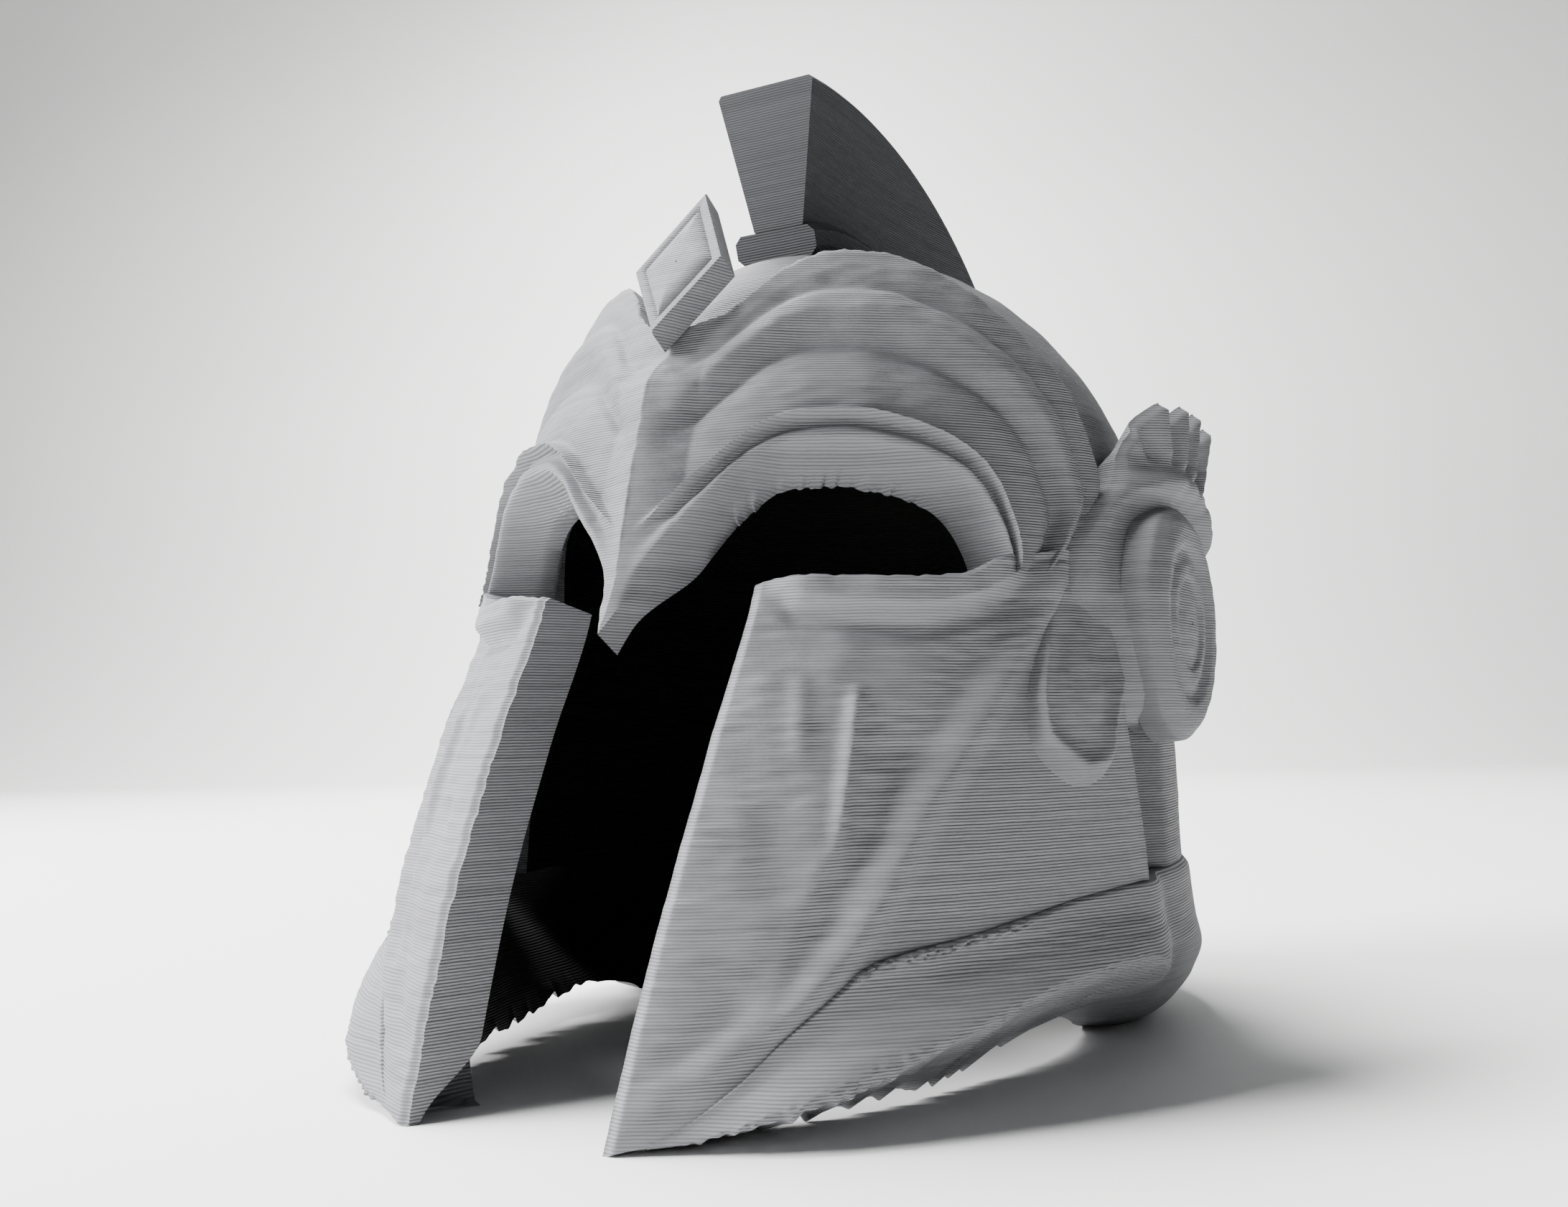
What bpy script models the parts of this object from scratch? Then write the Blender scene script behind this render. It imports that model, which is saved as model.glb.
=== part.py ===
"""Small printed model of a Trojan helmet with cheek guards, brow visor, ear wings and a fan crest.

The helmet faces -Y and stands on z = 0 on its cheek tips and the rim of its neck guard. Sizes are in
millimetres and turned into metres when a mesh is made. "around" is the angle round the helmet in degrees:
0 at the middle of the face, 90 at the ear, 180 at the nape. "depth" runs back from the cheek tips.
"""

import math

import bmesh
import bpy
import numpy as np

MM = 0.001

# Driving dimensions of the skull and the face
BOWL_HEIGHT = 64.3
SPRING_HEIGHT = 34.6
BOWL_HALF_WIDTH = 28.1
FACE_HALF_WIDTH = 32.6
HELMET_DEPTH = 80.5
EAR_DEPTH = 46.0
DOME_POWER = 2.1
WALL_SWEEP = 60.0
FRONT_POWER = 1.75
BACK_POWER = 2.0
WALL = 2.2
PLATE = 1.8
PLATE_FOOT = 4.5
PLATE_FOOT_FADE = (54.0, 64.0)
SEAT_GAP = 0.3

# Brow, eyes and cheeks; a pair is the stretch over which a form grows or fades
VISOR_DROP = 4.3
VISOR_PEAK = BOWL_HEIGHT - VISOR_DROP
NASAL_DEPTH = 1.3
BROW_SINK = 0.5
BROW_SINK_RISE = (-0.11, 0.12)
RIM_BLEND = (0.5, 4.0)
RIDGE_RELIEF = 1.3
RIDGE_HALF_WIDTH = 3.4
RIDGE_FADE = (0.54, 0.68)
EYE_LINE = 34.0
CHEEK_EDGE_DEPTH = 4.4
CHEEK_EDGE_FADE = (4.0, 11.0)
CHEEK_TIP_DEPTH = 1.2
CHEEK_TIP_HEIGHT = 6.0
CHEEK_RELIEF = 0.9
CHEEK_RELIEF_SPREAD = 4.0
CHEEK_RELIEF_RISE = (0.06, 0.25)
LIP_RELIEF = 1.3
LIP_FADE = (50.0, 57.0)

# Collar and neck guard
COLLAR_HEIGHT = 13.1
COLLAR_FLARE = 2.0
COLLAR_FLARE_RISE = (20.0, 36.0)
NECK_TURN = (58.0, 80.0)
NECK_BULGE = 1.1
NECK_CURL = 6.0
NECK_WALL = 2.4

# Ear roundel and wing
ROUNDEL_RADIUS = 8.0
ROUNDEL_THICKNESS = 1.7
ROUNDEL_HEIGHT = 31.4
ROUNDEL_DEPTH = 44.5
WING_STAND = 1.8
WING_FACE = BOWL_HALF_WIDTH + WING_STAND
WING_LIFT = 1.5
WING_SEAT_GAP = 0.5
WING_BODY_SHARE = 1.15
HUB_SHARE = 0.82
WING_EDGE = 0.5
PLATE_END_BLEND = 1.2

# Crest, its rail and the brow finial
RAIL_WIDTH = 7.5
RAIL_THICKNESS = 2.0
RAIL_START = -0.188
RAIL_END = 0.74
CREST_INSET = 0.02
CREST_ARC_RADIUS = 49.5
CREST_ARC_AHEAD = 4.0
CREST_ARC_DROP = 36.2
CREST_ARC_START = 97.2
CREST_ARC_END = 16.0
CREST_TOP_WIDTH = 9.1
CREST_FOOT_WIDTH = 4.5
FINIAL_LENGTH = 14.85
FINIAL_HALF_WIDTH = 3.85
FINIAL_THICKNESS = 2.1
FINIAL_DROP = 8.8
FINIAL_SEAT_GAP = 0.4
FINIAL_LEAN = 31.2
FINIAL_BROAD = 0.47

# Skull sections, bottom to spring line: height as a share of SPRING_HEIGHT, half width of BOWL_HALF_WIDTH,
# front and back depth of HELMET_DEPTH
SKULL_SECTIONS = (
    {"height": 0.00, "half_width": 1.000, "front": 0.060, "back": 1.000},
    {"height": 0.20, "half_width": 1.003, "front": 0.072, "back": 1.000},
    {"height": 0.42, "half_width": 1.000, "front": 0.095, "back": 1.000},
    {"height": 0.71, "half_width": 0.990, "front": 0.159, "back": 0.995},
    {"height": 1.00, "half_width": 0.953, "front": 0.240, "back": 0.982},
)

# Outer skin of the face plates: level as in skull_level, half width as a share of FACE_HALF_WIDTH, front of
# HELMET_DEPTH
FACE_SECTIONS = (
    {"level": 0.000, "half_width": 1.025, "front": -0.006},
    {"level": 0.191, "half_width": 1.012, "front": 0.022},
    {"level": 0.421, "half_width": 1.000, "front": 0.062},
    {"level": 0.711, "half_width": 0.960, "front": 0.124},
    {"level": 0.971, "half_width": 0.908, "front": 0.186},
    {"level": 1.203, "half_width": 0.871, "front": 0.211},
    {"level": 1.437, "half_width": 0.813, "front": 0.236},
    {"level": 1.639, "half_width": 0.736, "front": 0.276},
    {"level": 1.875, "half_width": 0.629, "front": 0.329},
)

# Lower rim of the skull: around in degrees, level as in skull_level
SKULL_RIM = (
    {"around": 0, "level": 1.610},
    {"around": 28, "level": 1.599},
    {"around": 44, "level": 1.567},
    {"around": 54, "level": 1.480},
    {"around": 60, "level": 1.372},
    {"around": 64, "level": 1.177},
    {"around": 66, "level": 1.004},
    {"around": 67.4, "level": 0.557},
    {"around": 68, "level": 0.381},
)

# Ribs of the brow visor from the middle out: its eye edge and its top edge as degrees around and height as
# a share of the brow, which is 0 at EYE_LINE and 1 at VISOR_PEAK, and where the crest of the eye rim lies on
# the way from the one to the other
VISOR_RIBS = (
    {"eye_around": 0.0, "eye": -0.161, "top_around": 0.0, "top": 0.753, "rim": 0.30},
    {"eye_around": 2.6, "eye": -0.073, "top_around": 7.0, "top": 0.765, "rim": 0.28},
    {"eye_around": 5.8, "eye": 0.008, "top_around": 12.0, "top": 0.804, "rim": 0.26},
    {"eye_around": 12.0, "eye": 0.116, "top_around": 18.5, "top": 0.903, "rim": 0.25},
    {"eye_around": 18.0, "eye": 0.218, "top_around": 25.0, "top": 0.968, "rim": 0.25},
    {"eye_around": 24.0, "eye": 0.266, "top_around": 31.5, "top": 0.993, "rim": 0.24},
    {"eye_around": 31.0, "eye": 0.273, "top_around": 40.5, "top": 0.952, "rim": 0.24},
    {"eye_around": 38.0, "eye": 0.257, "top_around": 52.0, "top": 0.855, "rim": 0.22},
    {"eye_around": 44.6, "eye": 0.218, "top_around": 62.5, "top": 0.723, "rim": 0.18},
    {"eye_around": 48.0, "eye": 0.155, "top_around": 70.8, "top": 0.532, "rim": 0.13},
    {"eye_around": 50.0, "eye": 0.086, "top_around": 72.2, "top": 0.342, "rim": 0.10},
    {"eye_around": 50.8, "eye": 0.040, "top_around": 67.5, "top": 0.169, "rim": 0.10},
    {"eye_around": 51.2, "eye": 0.019, "top_around": 60.0, "top": 0.036, "rim": 0.10},
)

# Steps of the visor from its eye edge to its top edge in millimetres: the outer skin's relief over the face
# plates' skin, which starts with the rim's bevel, and the inner skin's depth under it
VISOR_STEPS = (
    {"way": 0.000, "relief": -3.5, "sink": -4.3},
    {"way": 0.100, "relief": -2.3, "sink": -4.6},
    {"way": 0.190, "relief": -0.3, "sink": -4.4},
    {"way": 0.250, "relief": 1.1, "sink": -3.8},
    {"way": 0.300, "relief": 0.3, "sink": -2.6},
    {"way": 0.400, "relief": 0.0, "sink": -1.5},
    {"way": 0.500, "relief": -0.3, "sink": -1.5},
    {"way": 0.575, "relief": -0.7, "sink": -1.6},
    {"way": 0.660, "relief": -0.2, "sink": -1.5},
    {"way": 0.750, "relief": 0.5, "sink": -1.5},
    {"way": 0.870, "relief": 0.2, "sink": -1.5},
    {"way": 1.000, "relief": 0.1, "sink": -1.4},
)
RIM_WAY = 0.25

# Ribs of a cheek guard from the mouth slot back: foot and head, in degrees around and, at the head, height
# as a share of EYE_LINE; the foot's height is the collar line's
CHEEK_RIBS = (
    {"foot_around": 15.8, "head_around": 20.7, "head": 1.000},
    {"foot_around": 21.0, "head_around": 25.0, "head": 1.000},
    {"foot_around": 28.0, "head_around": 31.0, "head": 0.998},
    {"foot_around": 36.0, "head_around": 38.5, "head": 0.997},
    {"foot_around": 44.0, "head_around": 45.5, "head": 0.995},
    {"foot_around": 52.0, "head_around": 51.5, "head": 0.990},
    {"foot_around": 61.0, "head_around": 59.5, "head": 0.985},
    {"foot_around": 69.0, "head_around": 66.0, "head": 0.970},
)

# Steps of a cheek guard from its foot to its head: the lip under the eye and the groove below it, as shares
# of LIP_RELIEF
CHEEK_STEPS = (
    {"way": 0.00, "lip": 0.0},
    {"way": 0.07, "lip": 0.0},
    {"way": 0.15, "lip": 0.0},
    {"way": 0.24, "lip": 0.0},
    {"way": 0.33, "lip": 0.0},
    {"way": 0.42, "lip": 0.0},
    {"way": 0.52, "lip": 0.0},
    {"way": 0.62, "lip": 0.0},
    {"way": 0.72, "lip": 0.0},
    {"way": 0.80, "lip": -0.15},
    {"way": 0.86, "lip": -0.60},
    {"way": 0.90, "lip": -0.20},
    {"way": 0.93, "lip": 0.80},
    {"way": 0.97, "lip": 1.00},
    {"way": 1.00, "lip": 0.60},
)

# Diagonal ridge of a cheek guard from the visor's corner down to the tip
CHEEK_RIDGE = (
    {"height": 0.000, "around": 15.0},
    {"height": 0.103, "around": 22.6},
    {"height": 0.224, "around": 31.5},
    {"height": 0.385, "around": 37.8},
    {"height": 0.668, "around": 46.7},
    {"height": 1.000, "around": 59.2},
)

# Line where the cheek guards and the skull end and the collar band starts, heights as shares of
# COLLAR_HEIGHT
COLLAR_LINE = (
    {"around": 15.8, "height": 0.000},
    {"around": 21.0, "height": 0.060},
    {"around": 27.0, "height": 0.260},
    {"around": 31.0, "height": 0.460},
    {"around": 35.0, "height": 0.630},
    {"around": 37.5, "height": 0.720},
    {"around": 41.0, "height": 0.770},
    {"around": 47.5, "height": 0.830},
    {"around": 55.0, "height": 0.910},
    {"around": 60.0, "height": 0.960},
    {"around": 70.0, "height": 1.000},
    {"around": 90.0, "height": 1.000},
    {"around": 180.0, "height": 1.000},
)

# Bottom edge of the collar band, heights as shares of COLLAR_HEIGHT
HEM_LINE = (
    {"around": 15.8, "height": 0.020},
    {"around": 24.0, "height": 0.050},
    {"around": 30.0, "height": 0.105},
    {"around": 35.0, "height": 0.180},
    {"around": 41.0, "height": 0.290},
    {"around": 47.0, "height": 0.410},
    {"around": 53.0, "height": 0.520},
    {"around": 61.0, "height": 0.610},
    {"around": 66.0, "height": 0.630},
    {"around": 70.0, "height": 0.560},
    {"around": 75.0, "height": 0.420},
    {"around": 81.0, "height": 0.280},
    {"around": 91.0, "height": 0.120},
    {"around": 106.0, "height": 0.000},
    {"around": 180.0, "height": 0.000},
)

# Inner edge of the collar's thick underside: its depth under the face plates' skin as a share of its depth
# at the nape, and its height as a share of COLLAR_HEIGHT
COLLAR_INSIDE = (
    {"around": 24.0, "depth": 0.23, "height": 0.030},
    {"around": 34.0, "depth": 0.39, "height": 0.107},
    {"around": 44.0, "depth": 0.51, "height": 0.137},
    {"around": 54.0, "depth": 0.65, "height": 0.160},
    {"around": 64.0, "depth": 0.78, "height": 0.221},
    {"around": 74.0, "depth": 0.88, "height": 0.250},
    {"around": 84.0, "depth": 0.96, "height": 0.183},
    {"around": 94.0, "depth": 1.00, "height": 0.076},
    {"around": 106.0, "depth": 1.00, "height": 0.000},
    {"around": 180.0, "depth": 1.00, "height": 0.000},
)

# Steps of the collar from its top to its hem: swell beside the cheeks as a share of COLLAR_FLARE, round the
# neck swell as a share of NECK_BULGE and inward curl as a share of NECK_CURL, and how far the inner skin
# beside the cheeks has gone in to its edge
COLLAR_STEPS = (
    {"way": 0.00, "cheek": 0.10, "neck": 0.00, "curl": 0.00, "inside": 0.00},
    {"way": 0.22, "cheek": 0.20, "neck": 0.10, "curl": 0.00, "inside": 0.12},
    {"way": 0.48, "cheek": 0.45, "neck": 0.90, "curl": 0.00, "inside": 0.42},
    {"way": 0.67, "cheek": 0.70, "neck": 0.95, "curl": 0.16, "inside": 0.66},
    {"way": 0.80, "cheek": 0.88, "neck": 0.50, "curl": 0.31, "inside": 0.80},
    {"way": 0.91, "cheek": 1.00, "neck": 0.20, "curl": 0.56, "inside": 0.92},
    {"way": 1.00, "cheek": 1.00, "neck": 0.00, "curl": 1.00, "inside": 1.00},
)

# Wing outline round the roundel's centre: the angle where each spoke leaves the roundel (0 back, 90 up, 180
# forward), then how far back and up the spoke's end is on the outer skin and at the root on the skull, as
# shares of ROUNDEL_RADIUS, and how far out the outer skin stands there as a share of BOWL_HALF_WIDTH
WING_OUTLINE = (
    {"angle": 0, "back": 1.08, "up": 0.00, "root_back": 1.08, "root_up": 0.00, "out": 1.064},
    {"angle": 24, "back": 1.24, "up": 0.58, "root_back": 1.20, "root_up": 0.56, "out": 1.053},
    {"angle": 40, "back": 1.44, "up": 1.18, "root_back": 1.26, "root_up": 0.98, "out": 1.053},
    {"angle": 50, "back": 1.52, "up": 1.74, "root_back": 1.24, "root_up": 1.28, "out": 1.075},
    {"angle": 58, "back": 1.42, "up": 2.16, "root_back": 1.10, "root_up": 1.48, "out": 1.090},
    {"angle": 64, "back": 1.16, "up": 1.90, "root_back": 0.94, "root_up": 1.50, "out": 1.069},
    {"angle": 70, "back": 0.86, "up": 2.20, "root_back": 0.70, "root_up": 1.56, "out": 1.090},
    {"angle": 77, "back": 0.60, "up": 1.92, "root_back": 0.48, "root_up": 1.54, "out": 1.064},
    {"angle": 84, "back": 0.24, "up": 2.18, "root_back": 0.24, "root_up": 1.56, "out": 1.075},
    {"angle": 93, "back": -0.08, "up": 1.98, "root_back": -0.12, "root_up": 1.50, "out": 1.037},
    {"angle": 104, "back": -0.30, "up": 1.70, "root_back": -0.34, "root_up": 1.40, "out": 1.012},
    {"angle": 118, "back": -0.54, "up": 1.38, "root_back": -0.58, "root_up": 1.26, "out": 0.995},
    {"angle": 135, "back": -0.76, "up": 0.98, "root_back": -0.80, "root_up": 0.94, "out": 0.995},
    {"angle": 152, "back": -0.98, "up": 0.54, "root_back": -1.02, "root_up": 0.52, "out": 1.000},
    {"angle": 168, "back": -1.14, "up": 0.12, "root_back": -1.16, "root_up": 0.11, "out": 0.990},
    {"angle": 180, "back": -1.34, "up": -0.24, "root_back": -1.32, "root_up": -0.26, "out": 0.927},
    {"angle": 190, "back": -1.84, "up": -0.46, "root_back": -1.82, "root_up": -0.48, "out": 0.843},
    {"angle": 197, "back": -2.30, "up": -0.74, "root_back": -2.28, "root_up": -0.76, "out": 0.790},
    {"angle": 203, "back": -2.42, "up": -1.16, "root_back": -2.40, "root_up": -1.16, "out": 0.790},
    {"angle": 209, "back": -2.27, "up": -1.37, "root_back": -2.25, "root_up": -1.35, "out": 0.790},
    {"angle": 215, "back": -2.10, "up": -1.49, "root_back": -2.09, "root_up": -1.47, "out": 0.790},
    {"angle": 221, "back": -1.80, "up": -1.41, "root_back": -1.80, "root_up": -1.39, "out": 0.790},
    {"angle": 227, "back": -1.64, "up": -1.05, "root_back": -1.65, "root_up": -1.03, "out": 0.790},
    {"angle": 232, "back": -1.42, "up": -0.80, "root_back": -1.42, "root_up": -0.80, "out": 0.906},
    {"angle": 235, "back": -1.08, "up": -0.80, "root_back": -1.04, "root_up": -0.80, "out": 0.960},
    {"angle": 238, "back": -0.84, "up": -0.80, "root_back": -0.84, "root_up": -0.80, "out": 0.980},
    {"angle": 252, "back": -0.27, "up": -0.84, "root_back": -0.27, "root_up": -0.84, "out": 1.064},
    {"angle": 275, "back": 0.08, "up": -0.88, "root_back": 0.08, "root_up": -0.88, "out": 1.064},
    {"angle": 305, "back": 0.52, "up": -0.72, "root_back": 0.52, "root_up": -0.72, "out": 1.064},
    {"angle": 335, "back": 0.86, "up": -0.38, "root_back": 0.86, "root_up": -0.38, "out": 1.064},
)

# Line where the face plates end under the wing: level as in skull_level, and how far that is ahead of
# EAR_DEPTH as a share of it
PLATE_END = (
    {"level": 0.00, "ahead": 0.200},
    {"level": 0.87, "ahead": 0.194},
    {"level": 1.05, "ahead": 0.187},
    {"level": 1.29, "ahead": 0.139},
    {"level": 1.86, "ahead": 0.126},
)

# Turned profile of the roundel: radius and height as shares of ROUNDEL_RADIUS and ROUNDEL_THICKNESS
ROUNDEL_PROFILE = (
    {"radius": 1.00, "height": 0.00},
    {"radius": 1.00, "height": 0.62},
    {"radius": 0.93, "height": 0.90},
    {"radius": 0.80, "height": 0.92},
    {"radius": 0.72, "height": 0.70},
    {"radius": 0.62, "height": 0.70},
    {"radius": 0.55, "height": 0.86},
    {"radius": 0.42, "height": 0.80},
    {"radius": 0.34, "height": 0.94},
    {"radius": 0.16, "height": 1.00},
)

GREY_PLASTIC = (0.235, 0.240, 0.250, 1.0)


def column(table, name):
    return np.array([row[name] for row in table], float)


def smooth_step(low, high, value):
    share = np.clip((np.asarray(value, float) - low) / (high - low), 0.0, 1.0)
    return share * share * (3.0 - 2.0 * share)


def smooth_curve(at, knots, values):
    """Cubic through the knots that never overshoots them."""
    at = np.asarray(at, float)
    slopes = np.diff(values) / np.diff(knots)
    before, after = slopes[:-1], slopes[1:]
    same_way = before * after > 0
    inner = np.where(same_way, 2 * before * after / np.where(same_way, before + after, 1.0), 0.0)
    tangents = np.concatenate([[slopes[0]], inner, [slopes[-1]]])
    cell = np.clip(np.searchsorted(knots, at) - 1, 0, len(knots) - 2)
    width = knots[cell + 1] - knots[cell]
    share = np.clip((at - knots[cell]) / width, 0.0, 1.0)
    square, cube = share**2, share**3
    return (
        (2 * cube - 3 * square + 1) * values[cell]
        + (cube - 2 * square + share) * width * tangents[cell]
        + (3 * square - 2 * cube) * values[cell + 1]
        + (cube - square) * width * tangents[cell + 1]
    )


def read_table(table, key, name, at):
    return smooth_curve(at, column(table, key), column(table, name))


def skull_level(height):
    """Height as a level: 0 to 1 from the floor to the spring line, 1 to 2 from there to the crown."""
    over = (height - SPRING_HEIGHT) / (BOWL_HEIGHT - SPRING_HEIGHT)
    return np.where(over < 0.0, height / SPRING_HEIGHT, 1.0 + over)


def level_height(level):
    """Height of a level, the other way round."""
    dome = BOWL_HEIGHT - SPRING_HEIGHT
    return np.where(level < 1.0, level * SPRING_HEIGHT, SPRING_HEIGHT + (level - 1.0) * dome)


def brow_share(height):
    return (height - EYE_LINE) / (VISOR_PEAK - EYE_LINE)


def brow_height(share):
    return EYE_LINE + share * (VISOR_PEAK - EYE_LINE)


def skull_section(height):
    """Half width, front depth and back depth of the skull's outer skin at a height."""
    level = skull_level(height)
    share = np.clip(level, 0.0, 1.0)
    half_width = BOWL_HALF_WIDTH * read_table(SKULL_SECTIONS, "height", "half_width", share)
    front = HELMET_DEPTH * read_table(SKULL_SECTIONS, "height", "front", share)
    back = HELMET_DEPTH * read_table(SKULL_SECTIONS, "height", "back", share)
    rise = np.clip(level - 1.0, 0.0, 1.0)
    shrink = (1.0 - rise**DOME_POWER) ** (1.0 / DOME_POWER)
    return (
        half_width * shrink,
        EAR_DEPTH - (EAR_DEPTH - front) * shrink,
        EAR_DEPTH + (back - EAR_DEPTH) * shrink,
    )


def face_section(height):
    """The same for the outer skin of the face plates, which shares the skull's back."""
    level = skull_level(height)
    half_width = FACE_HALF_WIDTH * read_table(FACE_SECTIONS, "level", "half_width", level)
    front = HELMET_DEPTH * read_table(FACE_SECTIONS, "level", "front", level)
    swell = FACE_HALF_WIDTH - BOWL_HALF_WIDTH
    back = HELMET_DEPTH * read_table(SKULL_SECTIONS, "height", "back", np.clip(level, 0.0, 1.0))
    return half_width, front, back + swell


def signed_power(value, power):
    return np.sign(value) * np.abs(value) ** power


def on_section(section, around, height):
    """Point of the section at an angle, as x, depth, height."""
    half_width, front, back = section(height)
    angle = np.radians(around)
    sine, cosine = np.sin(angle), np.cos(angle)
    ahead = cosine >= 0
    bend = np.where(ahead, 2.0 / FRONT_POWER, 2.0 / BACK_POWER)
    reach = np.where(ahead, EAR_DEPTH - front, back - EAR_DEPTH)
    x = half_width * signed_power(sine, bend)
    depth = EAR_DEPTH - reach * signed_power(cosine, bend)
    return np.stack([x, depth, height + 0.0 * x], axis=-1)


def lifted(section, around, height, lift):
    """Point of the skin moved out along its normal by lift, which is negative for inwards."""
    around, height = np.broadcast_arrays(np.asarray(around, float), np.asarray(height, float))
    turn, climb = 0.2, 0.05
    along = on_section(section, around + turn, height) - on_section(section, around - turn, height)
    up = on_section(section, around, height + climb) - on_section(section, around, height - climb)
    normal = np.cross(along, up)
    length = np.linalg.norm(normal, axis=-1, keepdims=True)
    normal = np.where(length > 0, normal / np.where(length > 0, length, 1.0), 0.0)
    return on_section(section, around, height) + normal * np.asarray(lift, float)[..., None]


def plastic():
    """The one grey plastic that every piece is printed in."""
    material = bpy.data.materials.new("grey_plastic")
    material.use_nodes = True
    shader = material.node_tree.nodes["Principled BSDF"]
    shader.inputs["Base Color"].default_value = GREY_PLASTIC
    shader.inputs["Roughness"].default_value = 0.62
    shader.inputs["Metallic"].default_value = 0.0
    return material


def new_piece(name, points, faces, helmet, smooth_angle=35.0):
    """Object from points in x, depth, height millimetres, hung on the helmet's empty."""
    mesh = bpy.data.meshes.new(name)
    mesh.from_pydata((np.asarray(points) * MM).tolist(), [], faces)
    shape = bmesh.new()
    shape.from_mesh(mesh)
    bmesh.ops.recalc_face_normals(shape, faces=shape.faces)
    shape.to_mesh(mesh)
    shape.free()
    mesh.shade_smooth()
    mesh.set_sharp_from_angle(angle=math.radians(smooth_angle))
    piece = bpy.data.objects.new(name, mesh)
    piece.data.materials.append(plastic())
    bpy.context.scene.collection.objects.link(piece)
    piece.parent = helmet
    return piece


def closed_sheet(outer, inner):
    """Points and faces of the solid between two grids of the same rows and columns."""
    rows, columns = outer.shape[:2]
    points = np.concatenate([outer.reshape(-1, 3), inner.reshape(-1, 3)])
    under = rows * columns
    faces = []
    for row in range(rows - 1):
        for col in range(columns - 1):
            a = row * columns + col
            quad = (a, a + 1, a + columns + 1, a + columns)
            faces.append(quad)
            faces.append(tuple(under + corner for corner in reversed(quad)))
    rim = [col for col in range(columns)]
    rim += [row * columns + columns - 1 for row in range(1, rows)]
    rim += [(rows - 1) * columns + col for col in range(columns - 2, -1, -1)]
    rim += [row * columns for row in range(rows - 2, 0, -1)]
    for here, there in zip(rim, rim[1:] + rim[:1]):
        faces.append((there, here, under + here, under + there))
    return points, faces


def mirrored(points):
    return points * np.array([-1.0, 1.0, 1.0])


def standing(points):
    """The same points with none of them below the surface that the helmet stands on."""
    return np.concatenate([points[..., :2], np.maximum(points[..., 2:], 0.0)], axis=-1)


def build_bowl(helmet):
    """Dome, crown and nape in one shell, open below and in front."""
    half = np.concatenate([np.linspace(0, 48, 7), [54, 58, 61, 64, 66, 66.7, 67.4, 68, 71], np.linspace(76, 180, 15)])
    around = np.concatenate([half, -half[-2:0:-1]])
    columns, rows = len(around), 11
    beside = np.abs(around)
    front_edge = SKULL_RIM[-1]["around"]
    rim_front = level_height(read_table(SKULL_RIM, "around", "level", np.minimum(beside, front_edge)))
    rim_back = COLLAR_HEIGHT * read_table(COLLAR_LINE, "around", "height", np.maximum(beside, 60.0))
    rim = np.where(beside < front_edge, rim_front, rim_back + 0.5 * SEAT_GAP)
    dome = BOWL_HEIGHT - SPRING_HEIGHT
    above = np.degrees(np.arcsin(np.clip((rim - SPRING_HEIGHT) / dome, 0.0, 1.0)))
    below = WALL_SWEEP * np.clip((SPRING_HEIGHT - rim) / SPRING_HEIGHT, 0.0, 1.0)
    start = above - below
    grids = []
    for lift in (0.0, -WALL):
        rings = []
        for way in np.linspace(0.0, 1.0, rows + 1)[:-1]:
            climb = start + way * (90.0 - start)
            height = np.where(
                climb < 0.0,
                SPRING_HEIGHT * (1.0 + climb / WALL_SWEEP),
                SPRING_HEIGHT + dome * np.sin(np.radians(np.maximum(climb, 0.0))),
            )
            rings.append(lifted(skull_section, around, height, np.full(columns, lift)))
        grids.append(np.array(rings))
    outer, inner = grids
    count = rows * columns
    crown_outer = np.array([[0.0, EAR_DEPTH, BOWL_HEIGHT]])
    crown_inner = np.array([[0.0, EAR_DEPTH, BOWL_HEIGHT - WALL]])
    points = np.concatenate([outer.reshape(-1, 3), inner.reshape(-1, 3), crown_outer, crown_inner])
    faces = []
    for col in range(columns):
        after = (col + 1) % columns
        for row in range(rows - 1):
            a, b = row * columns + col, row * columns + after
            faces.append((a, b, b + columns, a + columns))
            faces.append((count + a + columns, count + b + columns, count + b, count + a))
        top = (rows - 1) * columns
        faces.append((top + col, top + after, 2 * count))
        faces.append((count + top + after, count + top + col, 2 * count + 1))
        faces.append((after, col, count + col, count + after))
    return new_piece("bowl", points, faces, helmet)


def visor_grid(columns):
    """Angles and heights of the visor's ribs at every step."""
    share = np.linspace(0.0, len(VISOR_RIBS) - 1, columns)
    knots = np.arange(len(VISOR_RIBS), dtype=float)
    edge = {name: smooth_curve(share, knots, column(VISOR_RIBS, name)) for name in VISOR_RIBS[0]}
    step = column(VISOR_STEPS, "way")[:, None]
    under = step / RIM_WAY * edge["rim"]
    over = edge["rim"] + (step - RIM_WAY) / (1.0 - RIM_WAY) * (1.0 - edge["rim"])
    way = np.where(step < RIM_WAY, under, over)
    around = edge["eye_around"] + way * (edge["top_around"] - edge["eye_around"])
    height = brow_height(edge["eye"] + way * (edge["top"] - edge["eye"]))
    return around, height


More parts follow.
